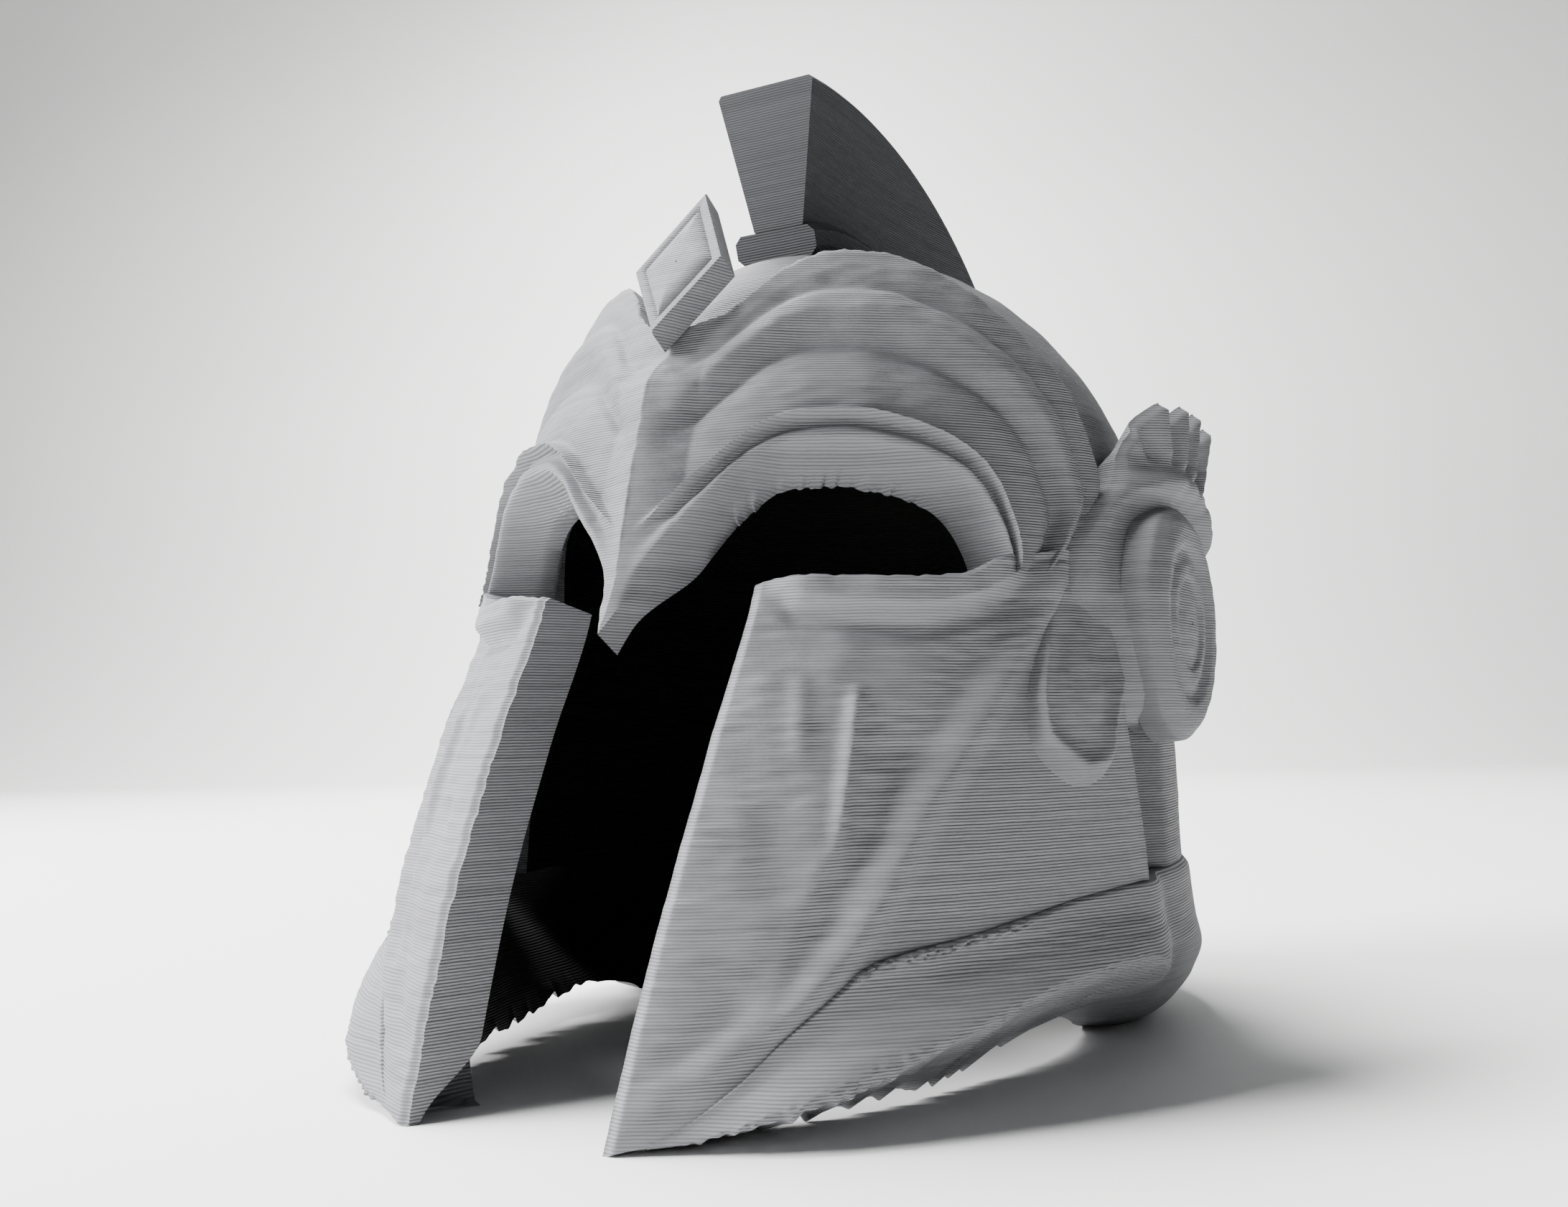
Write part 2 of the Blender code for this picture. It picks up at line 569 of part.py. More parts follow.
def build_visor(helmet):
    """Brow plate from the nasal tip to the two arches."""
    around, height = visor_grid(27)
    beside = np.abs(on_section(face_section, around, height)[..., 0])
    blend = smooth_step(*RIM_BLEND, beside)
    ridge = RIDGE_RELIEF * np.clip(1.0 - beside / RIDGE_HALF_WIDTH, 0.0, 1.0)
    ridge = ridge * (1.0 - smooth_step(*RIDGE_FADE, brow_share(height)))
    out = column(VISOR_STEPS, "relief")[:, None] * blend + ridge
    sink = column(VISOR_STEPS, "sink")[:, None]
    middle = -NASAL_DEPTH - BROW_SINK * smooth_step(*BROW_SINK_RISE, brow_share(height))
    outer = lifted(face_section, around, height, out)
    inner = lifted(face_section, around, height, middle + blend * (sink - middle))
    outer = np.concatenate([mirrored(outer[:, :0:-1]), outer], axis=1)
    inner = np.concatenate([mirrored(inner[:, :0:-1]), inner], axis=1)
    points, faces = closed_sheet(outer, inner)
    return new_piece("brow_visor", points, faces, helmet)


def cheek_grid(columns):
    """Angles and heights of a cheek guard, from the collar line up to the eye line."""
    share = np.linspace(0.0, len(CHEEK_RIBS) - 1, columns)
    knots = np.arange(len(CHEEK_RIBS), dtype=float)
    edge = {name: smooth_curve(share, knots, column(CHEEK_RIBS, name)) for name in CHEEK_RIBS[0]}
    foot = COLLAR_HEIGHT * read_table(COLLAR_LINE, "around", "height", edge["foot_around"])
    foot = foot + 0.5 * SEAT_GAP * np.minimum(share, 1.0)
    head = EYE_LINE * edge["head"]
    way = column(CHEEK_STEPS, "way")[:, None]
    around = edge["foot_around"] + way * (edge["head_around"] - edge["foot_around"])
    height = foot + way * (head - foot)
    return around, height


def cheek_relief(around, height):
    """Lip under the eye, the groove below it and the diagonal ridge from the visor's corner to the tip."""
    lip = LIP_RELIEF * column(CHEEK_STEPS, "lip")[:, None] * (1.0 - smooth_step(*LIP_FADE, around))
    line = read_table(CHEEK_RIDGE, "height", "around", height / EYE_LINE)
    ridge = CHEEK_RELIEF * np.exp(-(((around - line) / CHEEK_RELIEF_SPREAD) ** 2))
    return lip + ridge * smooth_step(*CHEEK_RELIEF_RISE, height / EYE_LINE)


def plate_wall(around, height):
    """Thickness of the face plates, which grows towards their foot as far back as the skull."""
    foot = np.clip(1.0 - height / EYE_LINE, 0.0, 1.0)
    return PLATE + PLATE_FOOT * foot * (1.0 - smooth_step(*PLATE_FOOT_FADE, around))


def build_cheek(side, name, helmet):
    """Plate beside the mouth slot, thicker along its front edge and thin at its tip."""
    around, height = cheek_grid(17)
    out = cheek_relief(around, height)
    tip = smooth_step(0.0, CHEEK_TIP_HEIGHT, height)
    front = 1.0 - smooth_step(*CHEEK_EDGE_FADE, around - around[:, :1])
    wall = plate_wall(around, height)
    sink = CHEEK_TIP_DEPTH + tip * (wall - CHEEK_TIP_DEPTH + front * (CHEEK_EDGE_DEPTH - wall))
    outer = lifted(face_section, around, height, out)
    inner = lifted(face_section, around, height, -sink)
    points, faces = closed_sheet(standing(outer), standing(inner))
    return new_piece(name, points if side > 0 else mirrored(points), faces, helmet)


def build_neck_guard(helmet):
    """Collar band from one cheek tip round the nape to the other."""
    half = np.concatenate([np.linspace(24.0, 60.0, 9), np.linspace(66.0, 96.0, 8), np.linspace(104.0, 180.0, 9)])
    around = np.concatenate([half, 360.0 - half[-2::-1]])
    beside = np.minimum(around, 360.0 - around)
    top = COLLAR_HEIGHT * read_table(COLLAR_LINE, "around", "height", beside) - 0.5 * SEAT_GAP
    hem = COLLAR_HEIGHT * read_table(HEM_LINE, "around", "height", beside)
    inside = COLLAR_HEIGHT * read_table(COLLAR_INSIDE, "around", "height", beside)
    way = column(COLLAR_STEPS, "way")[:, None]
    height = top + way * (hem - top)
    inner_height = top + way * (inside - top)
    behind = smooth_step(*NECK_TURN, beside)
    cheek = smooth_step(*COLLAR_FLARE_RISE, beside) * COLLAR_FLARE * column(COLLAR_STEPS, "cheek")[:, None]
    neck = NECK_BULGE * column(COLLAR_STEPS, "neck")[:, None] - NECK_CURL * column(COLLAR_STEPS, "curl")[:, None]
    swell = FACE_HALF_WIDTH - BOWL_HALF_WIDTH
    neck = neck - swell
    out = cheek + behind * (neck - cheek)
    wall = plate_wall(beside, top)
    deep = (swell + NECK_CURL + NECK_WALL) * read_table(COLLAR_INSIDE, "around", "depth", beside)
    front_sink = -wall - (deep - wall) * column(COLLAR_STEPS, "inside")[:, None]
    sink = front_sink + behind * (neck - NECK_WALL - front_sink)
    outer = lifted(face_section, around + 0.0 * height, height, out)
    inner = lifted(face_section, around + 0.0 * height, inner_height, sink)
    points, faces = closed_sheet(standing(outer), standing(inner))
    return new_piece("neck_guard", points, faces, helmet)


def skin_width(section, depth, height, lift):
    """Half width of a section at a depth, with the skin moved out by lift."""
    half_width, front, back = section(height)
    ahead = depth < EAR_DEPTH
    reach = np.where(ahead, EAR_DEPTH - front, back - EAR_DEPTH) + lift
    power = np.where(ahead, FRONT_POWER, BACK_POWER)
    share = np.clip(np.abs(depth - EAR_DEPTH) / reach, 0.0, 1.0)
    return (half_width + lift) * (1.0 - share**power) ** (1.0 / power)


def wing_rings(edge, reach):
    """Depths and heights of the wing's grid: two rings under the roundel, then out along the spokes."""
    spokes = columns = len(WING_OUTLINE)
    share = np.linspace(0.0, spokes, columns + 1)[:-1]
    knots = np.arange(spokes + 1, dtype=float)
    angle = np.radians(np.interp(share, knots, np.append(column(WING_OUTLINE, "angle"), 360.0)))
    hub = HUB_SHARE * ROUNDEL_RADIUS * np.stack([np.cos(angle), np.sin(angle)], axis=-1)
    ends = []
    for name in (edge + "back", edge + "up"):
        values = column(WING_OUTLINE, name)
        ends.append(ROUNDEL_RADIUS * np.interp(share, knots, np.append(values, values[0])))
    end = np.stack(ends, axis=-1)
    out = column(WING_OUTLINE, "out")
    end_out = BOWL_HALF_WIDTH * np.interp(share, knots, np.append(out, out[0]))
    rings = [0.5 * hub]
    widths = [np.full(columns, WING_FACE)]
    for way in reach:
        rings.append(hub + way * (end - hub))
        widths.append(WING_FACE + way * (end_out - WING_FACE))
    rings = np.array(rings)
    return ROUNDEL_DEPTH + rings[..., 0], ROUNDEL_HEIGHT + rings[..., 1], np.array(widths)


def build_wing(side, name, helmet):
    """Wing root, lobe and feathers, as a boss on the side of the helmet under the roundel."""
    reach = (0.0, 0.25, 0.5, 0.75, 1.0)
    depth, height, width = wing_rings("", reach)
    skin = skin_width(face_section, depth, height, 0.0) + WING_LIFT
    ahead = depth < ROUNDEL_DEPTH - WING_BODY_SHARE * ROUNDEL_RADIUS
    outer = np.stack([np.where(ahead, np.maximum(width, skin), width), depth, height], axis=-1)
    depth, height, _ = wing_rings("root_", reach)
    skull = skin_width(skull_section, depth, height, WING_SEAT_GAP)
    plates = skin_width(face_section, depth, height, WING_SEAT_GAP)
    plate_end = EAR_DEPTH * (1.0 - read_table(PLATE_END, "level", "ahead", skull_level(height)))
    blend = smooth_step(0.0, PLATE_END_BLEND, depth - plate_end)
    root = plates + blend * (skull - plates)
    inner = np.stack([root, depth, height], axis=-1)
    outer[..., 0] = np.maximum(outer[..., 0], inner[..., 0] + WING_EDGE)
    rings, columns = root.shape
    count = rings * columns
    seat = skin_width(skull_section, ROUNDEL_DEPTH, ROUNDEL_HEIGHT, WING_SEAT_GAP)
    centre = [[x, ROUNDEL_DEPTH, ROUNDEL_HEIGHT] for x in (WING_FACE, float(seat))]
    points = np.concatenate([outer.reshape(-1, 3), inner.reshape(-1, 3), np.array(centre)])
    faces = []
    for col in range(columns):
        after = (col + 1) % columns
        for ring in range(rings - 1):
            a, b = ring * columns + col, ring * columns + after
            faces.append((a, b, b + columns, a + columns))
            faces.append((count + a + columns, count + b + columns, count + b, count + a))
        faces.append((after, col, 2 * count))
        faces.append((count + col, count + after, 2 * count + 1))
        last = (rings - 1) * columns
        faces.append((last + col, last + after, count + last + after, count + last + col))
    return new_piece(name, points if side > 0 else mirrored(points), faces, helmet)


def build_roundel(side, name, helmet):
    """Round boss with concentric rings, its axis across the helmet."""
    segments = 28
    radii = ROUNDEL_RADIUS * column(ROUNDEL_PROFILE, "radius")
    heights = ROUNDEL_THICKNESS * column(ROUNDEL_PROFILE, "height")
    angle = np.radians(np.linspace(0.0, 360.0, segments, endpoint=False))
    seat = WING_FACE + SEAT_GAP
    rings = np.stack([
        seat + heights[:, None] + 0.0 * angle,
        ROUNDEL_DEPTH + radii[:, None] * np.cos(angle),
        ROUNDEL_HEIGHT + radii[:, None] * np.sin(angle),
    ], axis=-1)
    points = rings.reshape(-1, 3)
    faces = [tuple(range(segments - 1, -1, -1))]
    for ring in range(len(radii) - 1):
        for col in range(segments):
            a, b = ring * segments + col, ring * segments + (col + 1) % segments
            faces.append((a, b, b + segments, a + segments))
    last = (len(radii) - 1) * segments
    faces.append(tuple(range(last, last + segments)))
    return new_piece(name, points if side > 0 else mirrored(points), faces, helmet)


def crown_line(share, lift):
    """Point over the middle of the dome: -1 at the front spring line, 0 at the crown, 1 at the back one."""
    share = np.asarray(share, float)
    rise = np.clip(1.0 - np.abs(share), 1e-4, 1.0 - 1e-4)
    height = SPRING_HEIGHT + (BOWL_HEIGHT - SPRING_HEIGHT) * np.sin(rise * math.pi / 2)
    _, front, back = skull_section(height)
    depth = np.where(share < 0.0, front, back)
    line = np.stack([depth, height], axis=-1)
    along = np.gradient(line, axis=0)
    normal = np.stack([-along[:, 1], along[:, 0]], axis=-1)
    normal = normal / np.linalg.norm(normal, axis=-1, keepdims=True)
    return line + normal * np.asarray(lift, float)[..., None]


def swept_block(stations):
    """Points and faces of a bar of four-cornered stations with flat ends."""
    points = np.concatenate(stations)
    faces = [(3, 2, 1, 0)]
    for row in range(len(stations) - 1):
        for corner in range(4):
            here, there = 4 * row + corner, 4 * row + (corner + 1) % 4
            faces.append((here, there, there + 4, here + 4))
    end = 4 * (len(stations) - 1)
    faces.append((end, end + 1, end + 2, end + 3))
    return points, faces


def build_rail(helmet):
    """Flat bar bent over the crown, from just ahead of it down the back."""
    share = np.linspace(RAIL_START, RAIL_END, 25)
    foot = crown_line(share, np.full(len(share), SEAT_GAP))
    head = crown_line(share, np.full(len(share), SEAT_GAP + RAIL_THICKNESS))
    half = 0.5 * RAIL_WIDTH
    stations = []
    for (low_depth, low_height), (top_depth, top_height) in zip(foot, head):
        stations.append(np.array([
            [-half, low_depth, low_height],
            [half, low_depth, low_height],
            [half, top_depth, top_height],
            [-half, top_depth, top_height],
        ]))
    points, faces = swept_block(stations)
    return new_piece("crest_rail", points, faces, helmet)


def build_crest(helmet):
    """Fan from the rail out to its arc, wider at the arc, its front end leaning forward."""
    count = 25
    share = np.linspace(RAIL_START + CREST_INSET, RAIL_END - CREST_INSET, count)
    foot = crown_line(share, np.full(count, 2.0 * SEAT_GAP + RAIL_THICKNESS))
    angle = np.radians(np.linspace(CREST_ARC_START, CREST_ARC_END, count))
    head = np.stack([
        EAR_DEPTH - CREST_ARC_AHEAD + CREST_ARC_RADIUS * np.cos(angle),
        BOWL_HEIGHT - CREST_ARC_DROP + CREST_ARC_RADIUS * np.sin(angle),
    ], axis=-1)
    stations = []
    for (low_depth, low_height), (top_depth, top_height) in zip(foot, head):
        low, top = 0.5 * CREST_FOOT_WIDTH, 0.5 * CREST_TOP_WIDTH
        stations.append(np.array([
            [-low, low_depth, low_height],
            [low, low_depth, low_height],
            [top, top_depth, top_height],
            [-top, top_depth, top_height],
        ]))
    points, faces = swept_block(stations)
    return new_piece("crest", points, faces, helmet)


def build_finial(helmet):
    """Diamond plate that leans back on the visor, between its arches."""
    lean = math.radians(FINIAL_LEAN)
    along = np.array([0.0, math.sin(lean), math.cos(lean)])
    inward = np.array([0.0, math.cos(lean), -math.sin(lean)])
    foot_height = VISOR_PEAK - FINIAL_DROP
    seat = float(face_section(foot_height)[1])
    back_foot = np.array([0.0, seat, foot_height]) - FINIAL_SEAT_GAP * inward
    across = np.array([FINIAL_HALF_WIDTH, 0.0, 0.0])
    broad = FINIAL_BROAD * FINIAL_LENGTH * along
    outline = [0.0 * along, broad + across, FINIAL_LENGTH * along, broad - across]
    back = [back_foot + corner for corner in outline]
    front = [corner - FINIAL_THICKNESS * inward for corner in back]
    points = np.array(front + back)
    faces = [(0, 1, 2, 3), (7, 6, 5, 4)]
    faces += [(k, 4 + k, 4 + (k + 1) % 4, (k + 1) % 4) for k in range(4)]
    return new_piece("brow_finial", points, faces, helmet)


def main():
    for leftover in list(bpy.data.objects):
        bpy.data.objects.remove(leftover, do_unlink=True)
    helmet = bpy.data.objects.new("helmet", None)
    bpy.context.scene.collection.objects.link(helmet)
    build_bowl(helmet)
    build_visor(helmet)
    build_finial(helmet)
    for side, word in ((1, "left"), (-1, "right")):
        build_cheek(side, f"cheek_guard_{word}", helmet)
        build_wing(side, f"wing_{word}", helmet)
        build_roundel(side, f"ear_roundel_{word}", helmet)
    build_neck_guard(helmet)
    build_rail(helmet)
    build_crest(helmet)
    depths = [corner[1] for piece in helmet.children for corner in piece.bound_box]
    helmet.location.y = -0.5 * (min(depths) + max(depths))


main()
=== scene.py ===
import math
import bpy
import numpy as np
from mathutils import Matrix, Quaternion, Vector


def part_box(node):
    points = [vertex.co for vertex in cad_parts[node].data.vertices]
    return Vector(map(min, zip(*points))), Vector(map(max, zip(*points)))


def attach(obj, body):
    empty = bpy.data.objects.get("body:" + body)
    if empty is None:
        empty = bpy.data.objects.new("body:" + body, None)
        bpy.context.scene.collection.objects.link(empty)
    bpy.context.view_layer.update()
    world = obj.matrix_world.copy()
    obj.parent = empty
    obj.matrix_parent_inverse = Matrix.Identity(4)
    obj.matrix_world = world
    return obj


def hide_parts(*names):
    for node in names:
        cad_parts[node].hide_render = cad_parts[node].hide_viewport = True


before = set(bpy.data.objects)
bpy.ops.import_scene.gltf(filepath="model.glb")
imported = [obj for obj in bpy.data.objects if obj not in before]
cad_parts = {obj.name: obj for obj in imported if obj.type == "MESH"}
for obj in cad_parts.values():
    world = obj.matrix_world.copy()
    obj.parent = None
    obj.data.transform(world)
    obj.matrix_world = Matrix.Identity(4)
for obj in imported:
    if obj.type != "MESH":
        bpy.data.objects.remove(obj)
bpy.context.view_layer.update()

# Skull: the hollow dome of the print, matt grey plastic laid down in level layers, with a recess behind
# each cheek guard. Its inside is the same grey plastic but is painted near black as painted shade. Angles
# go round it in degrees, 0 at the middle of the face and 90 at the ear, sizes are in millimetres, and depth
# runs back from the cheek guards' tips.
MM = 0.001
LAYER = 0.2
SKULL_HEIGHT = 64.3
SPRING_HEIGHT = 34.6
SKULL_HALF_WIDTH = 28.1
HELMET_DEPTH = 80.5
EAR_DEPTH = 46.0
DOME_POWER = 2.1
FRONT_POWER = 1.75
BACK_POWER = 2.0
SKULL_WALL = 2.2
SKULL_SWEEP = 60.0
COLLAR_HEIGHT = 13.1
ROUNDEL_DEPTH = 44.5
SKULL_SECTIONS = (
    {"height": 0.0, "half_width": 1.0, "front": 0.06, "back": 1.0},
    {"height": 0.2, "half_width": 1.003, "front": 0.072, "back": 1.0},
    {"height": 0.42, "half_width": 1.0, "front": 0.095, "back": 1.0},
    {"height": 0.71, "half_width": 0.99, "front": 0.159, "back": 0.995},
    {"height": 1.0, "half_width": 0.953, "front": 0.24, "back": 0.982},
)
SKULL_RIM = (
    {"around": 0, "height": 0.82},
    {"around": 28, "height": 0.815},
    {"around": 44, "height": 0.8},
    {"around": 54, "height": 0.76},
    {"around": 60, "height": 0.71},
    {"around": 64, "height": 0.62},
    {"around": 66, "height": 0.54},
    {"around": 67.4, "height": 0.3},
    {"around": 68, "height": 0.2},
)

ear_low, ear_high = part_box("ear_roundel_left")
MIDDLE_DEPTH = ROUNDEL_DEPTH - 0.5 * (ear_low[1] + ear_high[1]) / MM


def column(table, name):
    return np.array([row[name] for row in table], float)


def smooth_step(low, high, value):
    share = np.clip((np.asarray(value, float) - low) / (high - low), 0.0, 1.0)
    return share * share * (3.0 - 2.0 * share)


def fade_out(low, high, value):
    return 1.0 - smooth_step(low, high, value)


def bump_line(value, centre, width):
    """A soft ridge of height 1 along a line."""
    return np.exp(-(((value - centre) / width) ** 2))


def smooth_curve(at, knots, values):
    """Cubic through the knots that never overshoots them."""
    at = np.asarray(at, float)
    slopes = np.diff(values) / np.diff(knots)
    before, after = slopes[:-1], slopes[1:]
    same_way = before * after > 0
    inner = np.where(same_way, 2 * before * after / np.where(same_way, before + after, 1.0), 0.0)
    tangents = np.concatenate([[slopes[0]], inner, [slopes[-1]]])
    cell = np.clip(np.searchsorted(knots, at) - 1, 0, len(knots) - 2)
    width = knots[cell + 1] - knots[cell]
    share = np.clip((at - knots[cell]) / width, 0.0, 1.0)
    square, cube = share**2, share**3
    return (
        (2 * cube - 3 * square + 1) * values[cell]
        + (cube - 2 * square + share) * width * tangents[cell]
        + (3 * square - 2 * cube) * values[cell + 1]
        + (cube - square) * width * tangents[cell + 1]
    )


def read_table(table, key, name, at):
    return smooth_curve(at, column(table, key), column(table, name))


def skull_section(height):
    """Half width, front depth and back depth of the skull's outside at a height."""
    share = np.clip(height / SPRING_HEIGHT, 0.0, 1.0)
    half_width = SKULL_HALF_WIDTH * read_table(SKULL_SECTIONS, "height", "half_width", share)
    front = HELMET_DEPTH * read_table(SKULL_SECTIONS, "height", "front", share)
    back = HELMET_DEPTH * read_table(SKULL_SECTIONS, "height", "back", share)
    rise = np.clip((height - SPRING_HEIGHT) / (SKULL_HEIGHT - SPRING_HEIGHT), 0.0, 1.0)
    shrink = (1.0 - rise**DOME_POWER) ** (1.0 / DOME_POWER)
    return (
        half_width * shrink,
        EAR_DEPTH - (EAR_DEPTH - front) * shrink,
        EAR_DEPTH + (back - EAR_DEPTH) * shrink,
    )


def on_section(section, around, height):
    """Point of a section at an angle, as x, depth, height."""
    half_width, front, back = section(height)
    sine, cosine = np.sin(np.radians(around)), np.cos(np.radians(around))
    bend = np.where(cosine >= 0, 2.0 / FRONT_POWER, 2.0 / BACK_POWER)
    reach = np.where(cosine >= 0, EAR_DEPTH - front, back - EAR_DEPTH)
    x = half_width * np.sign(sine) * np.abs(sine) ** bend
    depth = EAR_DEPTH - reach * np.sign(cosine) * np.abs(cosine) ** bend
    return np.stack([x, depth, height + 0.0 * x], axis=-1)


def lifted(section, around, height, lift):
    """Point of the skin moved out along its normal by lift, which is negative for inwards."""
    around, height = np.broadcast_arrays(np.asarray(around, float), np.asarray(height, float))
    turn, climb = 0.2, 0.05
    along = on_section(section, around + turn, height) - on_section(section, around - turn, height)
    up = on_section(section, around, height + climb) - on_section(section, around, height - climb)
    normal = np.cross(along, up)
    length = np.linalg.norm(normal, axis=-1, keepdims=True)
    normal = np.where(length > 0, normal / np.where(length > 0, length, 1.0), 0.0)
    return on_section(section, around, height) + normal * np.asarray(lift, float)[..., None]


def waver(across, up, seed):
    """Soft random waver between -1 and 1 on a lattice of whole numbers."""
    lattice = np.random.default_rng(seed).uniform(-1.0, 1.0, (101, 97))
    across, up = np.broadcast_arrays(np.asarray(across, float), np.asarray(up, float))
    col, row = np.floor(across).astype(int), np.floor(up).astype(int)
    s, t = across - col, up - row
    s, t = s * s * (3.0 - 2.0 * s), t * t * (3.0 - 2.0 * t)
    low = lattice[row % 101, col % 97] * (1.0 - s) + lattice[row % 101, (col + 1) % 97] * s
    high = lattice[(row + 1) % 101, col % 97] * (1.0 - s) + lattice[(row + 1) % 101, (col + 1) % 97] * s
    return low * (1.0 - t) + high * t


def layered_grey(name, grey, line_depth, drift_depth):
    """Matt grey plastic with its level print lines: a bead every layer, each a little out of line, with
    painted light on each bead and painted shade in the groove between beads.
    """
    material = bpy.data.materials.new(name)
    material.use_nodes = True
    nodes, links = material.node_tree.nodes, material.node_tree.links
    shader = nodes["Principled BSDF"]
    shader.inputs["Roughness"].default_value = 0.68
    shader.inputs["Specular IOR Level"].default_value = 0.22

    def math_node(operation, first, second):
        node = nodes.new("ShaderNodeMath")
        node.operation = operation
        for slot, value in zip(node.inputs, (first, second)):
            if isinstance(value, (int, float)):
                slot.default_value = value
            else:
                links.new(value, slot)
        return node.outputs[0]

    def stretched_noise(flat_scale, level_scale, detail):
        stretch = nodes.new("ShaderNodeMapping")
        stretch.inputs["Scale"].default_value = (flat_scale, flat_scale, level_scale)
        links.new(place.outputs["Object"], stretch.inputs["Vector"])
        noise = nodes.new("ShaderNodeTexNoise")
        noise.inputs["Scale"].default_value = 1.0
        noise.inputs["Detail"].default_value = detail
        links.new(stretch.outputs[0], noise.inputs["Vector"])
        return noise.outputs["Fac"]

    place = nodes.new("ShaderNodeTexCoord")
    split = nodes.new("ShaderNodeSeparateXYZ")
    links.new(place.outputs["Object"], split.inputs[0])
    bend = math_node("MULTIPLY", stretched_noise(350.0, 350.0, 2.0), 0.5)
    turns = math_node("ADD", math_node("MULTIPLY", split.outputs["Z"], 1.0 / (LAYER * MM)), bend)
    bead = math_node("ABSOLUTE", math_node("SINE", math_node("MULTIPLY", turns, math.pi), 0.0), 0.0)
    drift = stretched_noise(55.0, 0.8 / (LAYER * MM), 1.0)
    streak = stretched_noise(30.0, 0.22 / (LAYER * MM), 2.0)
    grain = stretched_noise(9000.0, 9000.0, 2.0)
    uneven = math_node("ADD", math_node("ADD", drift, streak), math_node("MULTIPLY", grain, 0.25))
    relief = math_node("MULTIPLY", uneven, drift_depth)
    relief = math_node("ADD", relief, math_node("MULTIPLY", bead, line_depth))
    bump = nodes.new("ShaderNodeBump")
    bump.inputs["Distance"].default_value = MM
    links.new(relief, bump.inputs["Height"])
    links.new(bump.outputs[0], shader.inputs["Normal"])
    tone = nodes.new("ShaderNodeValToRGB")
    for stop, share, position in zip(tone.color_ramp.elements, (0.62, 1.16), (0.30, 0.78)):
        stop.color = (grey[0] * share, grey[1] * share, grey[2] * share, 1.0)
        stop.position = position
    patchy = math_node("MULTIPLY", math_node("ADD", drift, streak), 0.36)
    # The colour also follows the beads: lighter on each bead and darker in the groove between layers,
    # painted light and shade laid over the real bump.
    links.new(math_node("ADD", patchy, math_node("MULTIPLY", bead, 0.38)), tone.inputs["Fac"])
    links.new(tone.outputs["Color"], shader.inputs["Base Color"])
    return material


def put_piece(name, node, points, faces, finish, sharp=52.0, painted_shade_faces=(0, 0)):
    """A closed printed piece, which takes the place of a CAD node if it names one."""
    faces = np.asarray(faces)
    corner = points[faces]
    spread = np.cross(corner[:, 2] - corner[:, 0], corner[:, 3] - corner[:, 1])
    if (corner.mean(axis=1) * spread).sum() < 0:
        faces = faces[:, ::-1]
    world = (points - np.array([0.0, MIDDLE_DEPTH, 0.0])) * MM
    mesh = bpy.data.meshes.new(name)
    mesh.from_pydata(world.tolist(), [], faces.tolist())
    mesh.shade_smooth()
    mesh.set_sharp_from_angle(angle=math.radians(sharp))
    piece = bpy.data.objects.new(name, mesh)
    bpy.context.scene.collection.objects.link(piece)
    mesh.materials.append(finish)
    # The inner faces get the near-black second finish: painted shade, as the inside is the same grey
    # plastic.
    if painted_shade_faces[1]:
        mesh.materials.append(painted_shade_finish)
        is_painted_shade = np.zeros(len(faces), dtype=np.int32)
        is_painted_shade[painted_shade_faces[0]:painted_shade_faces[1]] = 1
        mesh.polygons.foreach_set("material_index", is_painted_shade)
    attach(piece, "root")
    if node:
        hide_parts(node)
    return piece


def shell_faces(rows, columns, ring=False):
    """Faces of the closed solid between two grids, open at its two edges or joined in a ring."""
    corner = np.arange(rows * columns).reshape(rows, columns)
    if ring:
        corner = np.concatenate([corner, corner[:, :1]], axis=1)
    under = rows * columns
    quads = np.stack([corner[:-1, :-1], corner[:-1, 1:], corner[1:, 1:], corner[1:, :-1]], axis=-1)
    quads = quads.reshape(-1, 4)
    if ring:
        rims = [corner[0], corner[-1, ::-1]]
    else:
        rims = [np.concatenate([corner[0], corner[1:, -1], corner[-1, -2::-1], corner[-2::-1, 0]])]
    edges = [np.stack([rim[1:], rim[:-1], rim[:-1] + under, rim[1:] + under], axis=-1) for rim in rims]
    return np.concatenate([quads, quads[:, ::-1] + under] + edges)


def shell_piece(name, node, outer, inner, finish, ring=False, sharp=52.0, painted_shade_inside=False):
    points = np.concatenate([outer.reshape(-1, 3), inner.reshape(-1, 3)])
    rows, columns = outer.shape[:2]
    half = (rows - 1) * (columns if ring else columns - 1)
    # With the flag set, the inner skin's faces get the near-black painted shade.
    painted_shade_faces = (half, 2 * half) if painted_shade_inside else (0, 0)
    return put_piece(name, node, points, shell_faces(rows, columns, ring), finish, sharp, painted_shade_faces)


skull_half = np.concatenate([np.linspace(0, 60, 25), np.linspace(62, 76, 29), np.linspace(79, 180, 35)])
skull_around = np.concatenate([skull_half, -skull_half[-2:0:-1]])
beside = np.abs(skull_around)
COLLAR_LINE = (
    {"around": 15.8, "height": 0.0},
    {"around": 21.0, "height": 0.06},
    {"around": 27.0, "height": 0.26},
    {"around": 31.0, "height": 0.46},
    {"around": 35.0, "height": 0.63},
    {"around": 37.5, "height": 0.72},
    {"around": 41.0, "height": 0.77},
    {"around": 47.5, "height": 0.83},
    {"around": 55.0, "height": 0.91},
    {"around": 60.0, "height": 0.96},
    {"around": 70.0, "height": 1.0},
    {"around": 90.0, "height": 1.0},
    {"around": 180.0, "height": 1.0},
)
rim_front = SKULL_HEIGHT * read_table(SKULL_RIM, "around", "height", np.minimum(beside, 68.0))
skull_rim = np.where(beside < 68.0, rim_front, COLLAR_HEIGHT - 1.0)
dome = SKULL_HEIGHT - SPRING_HEIGHT
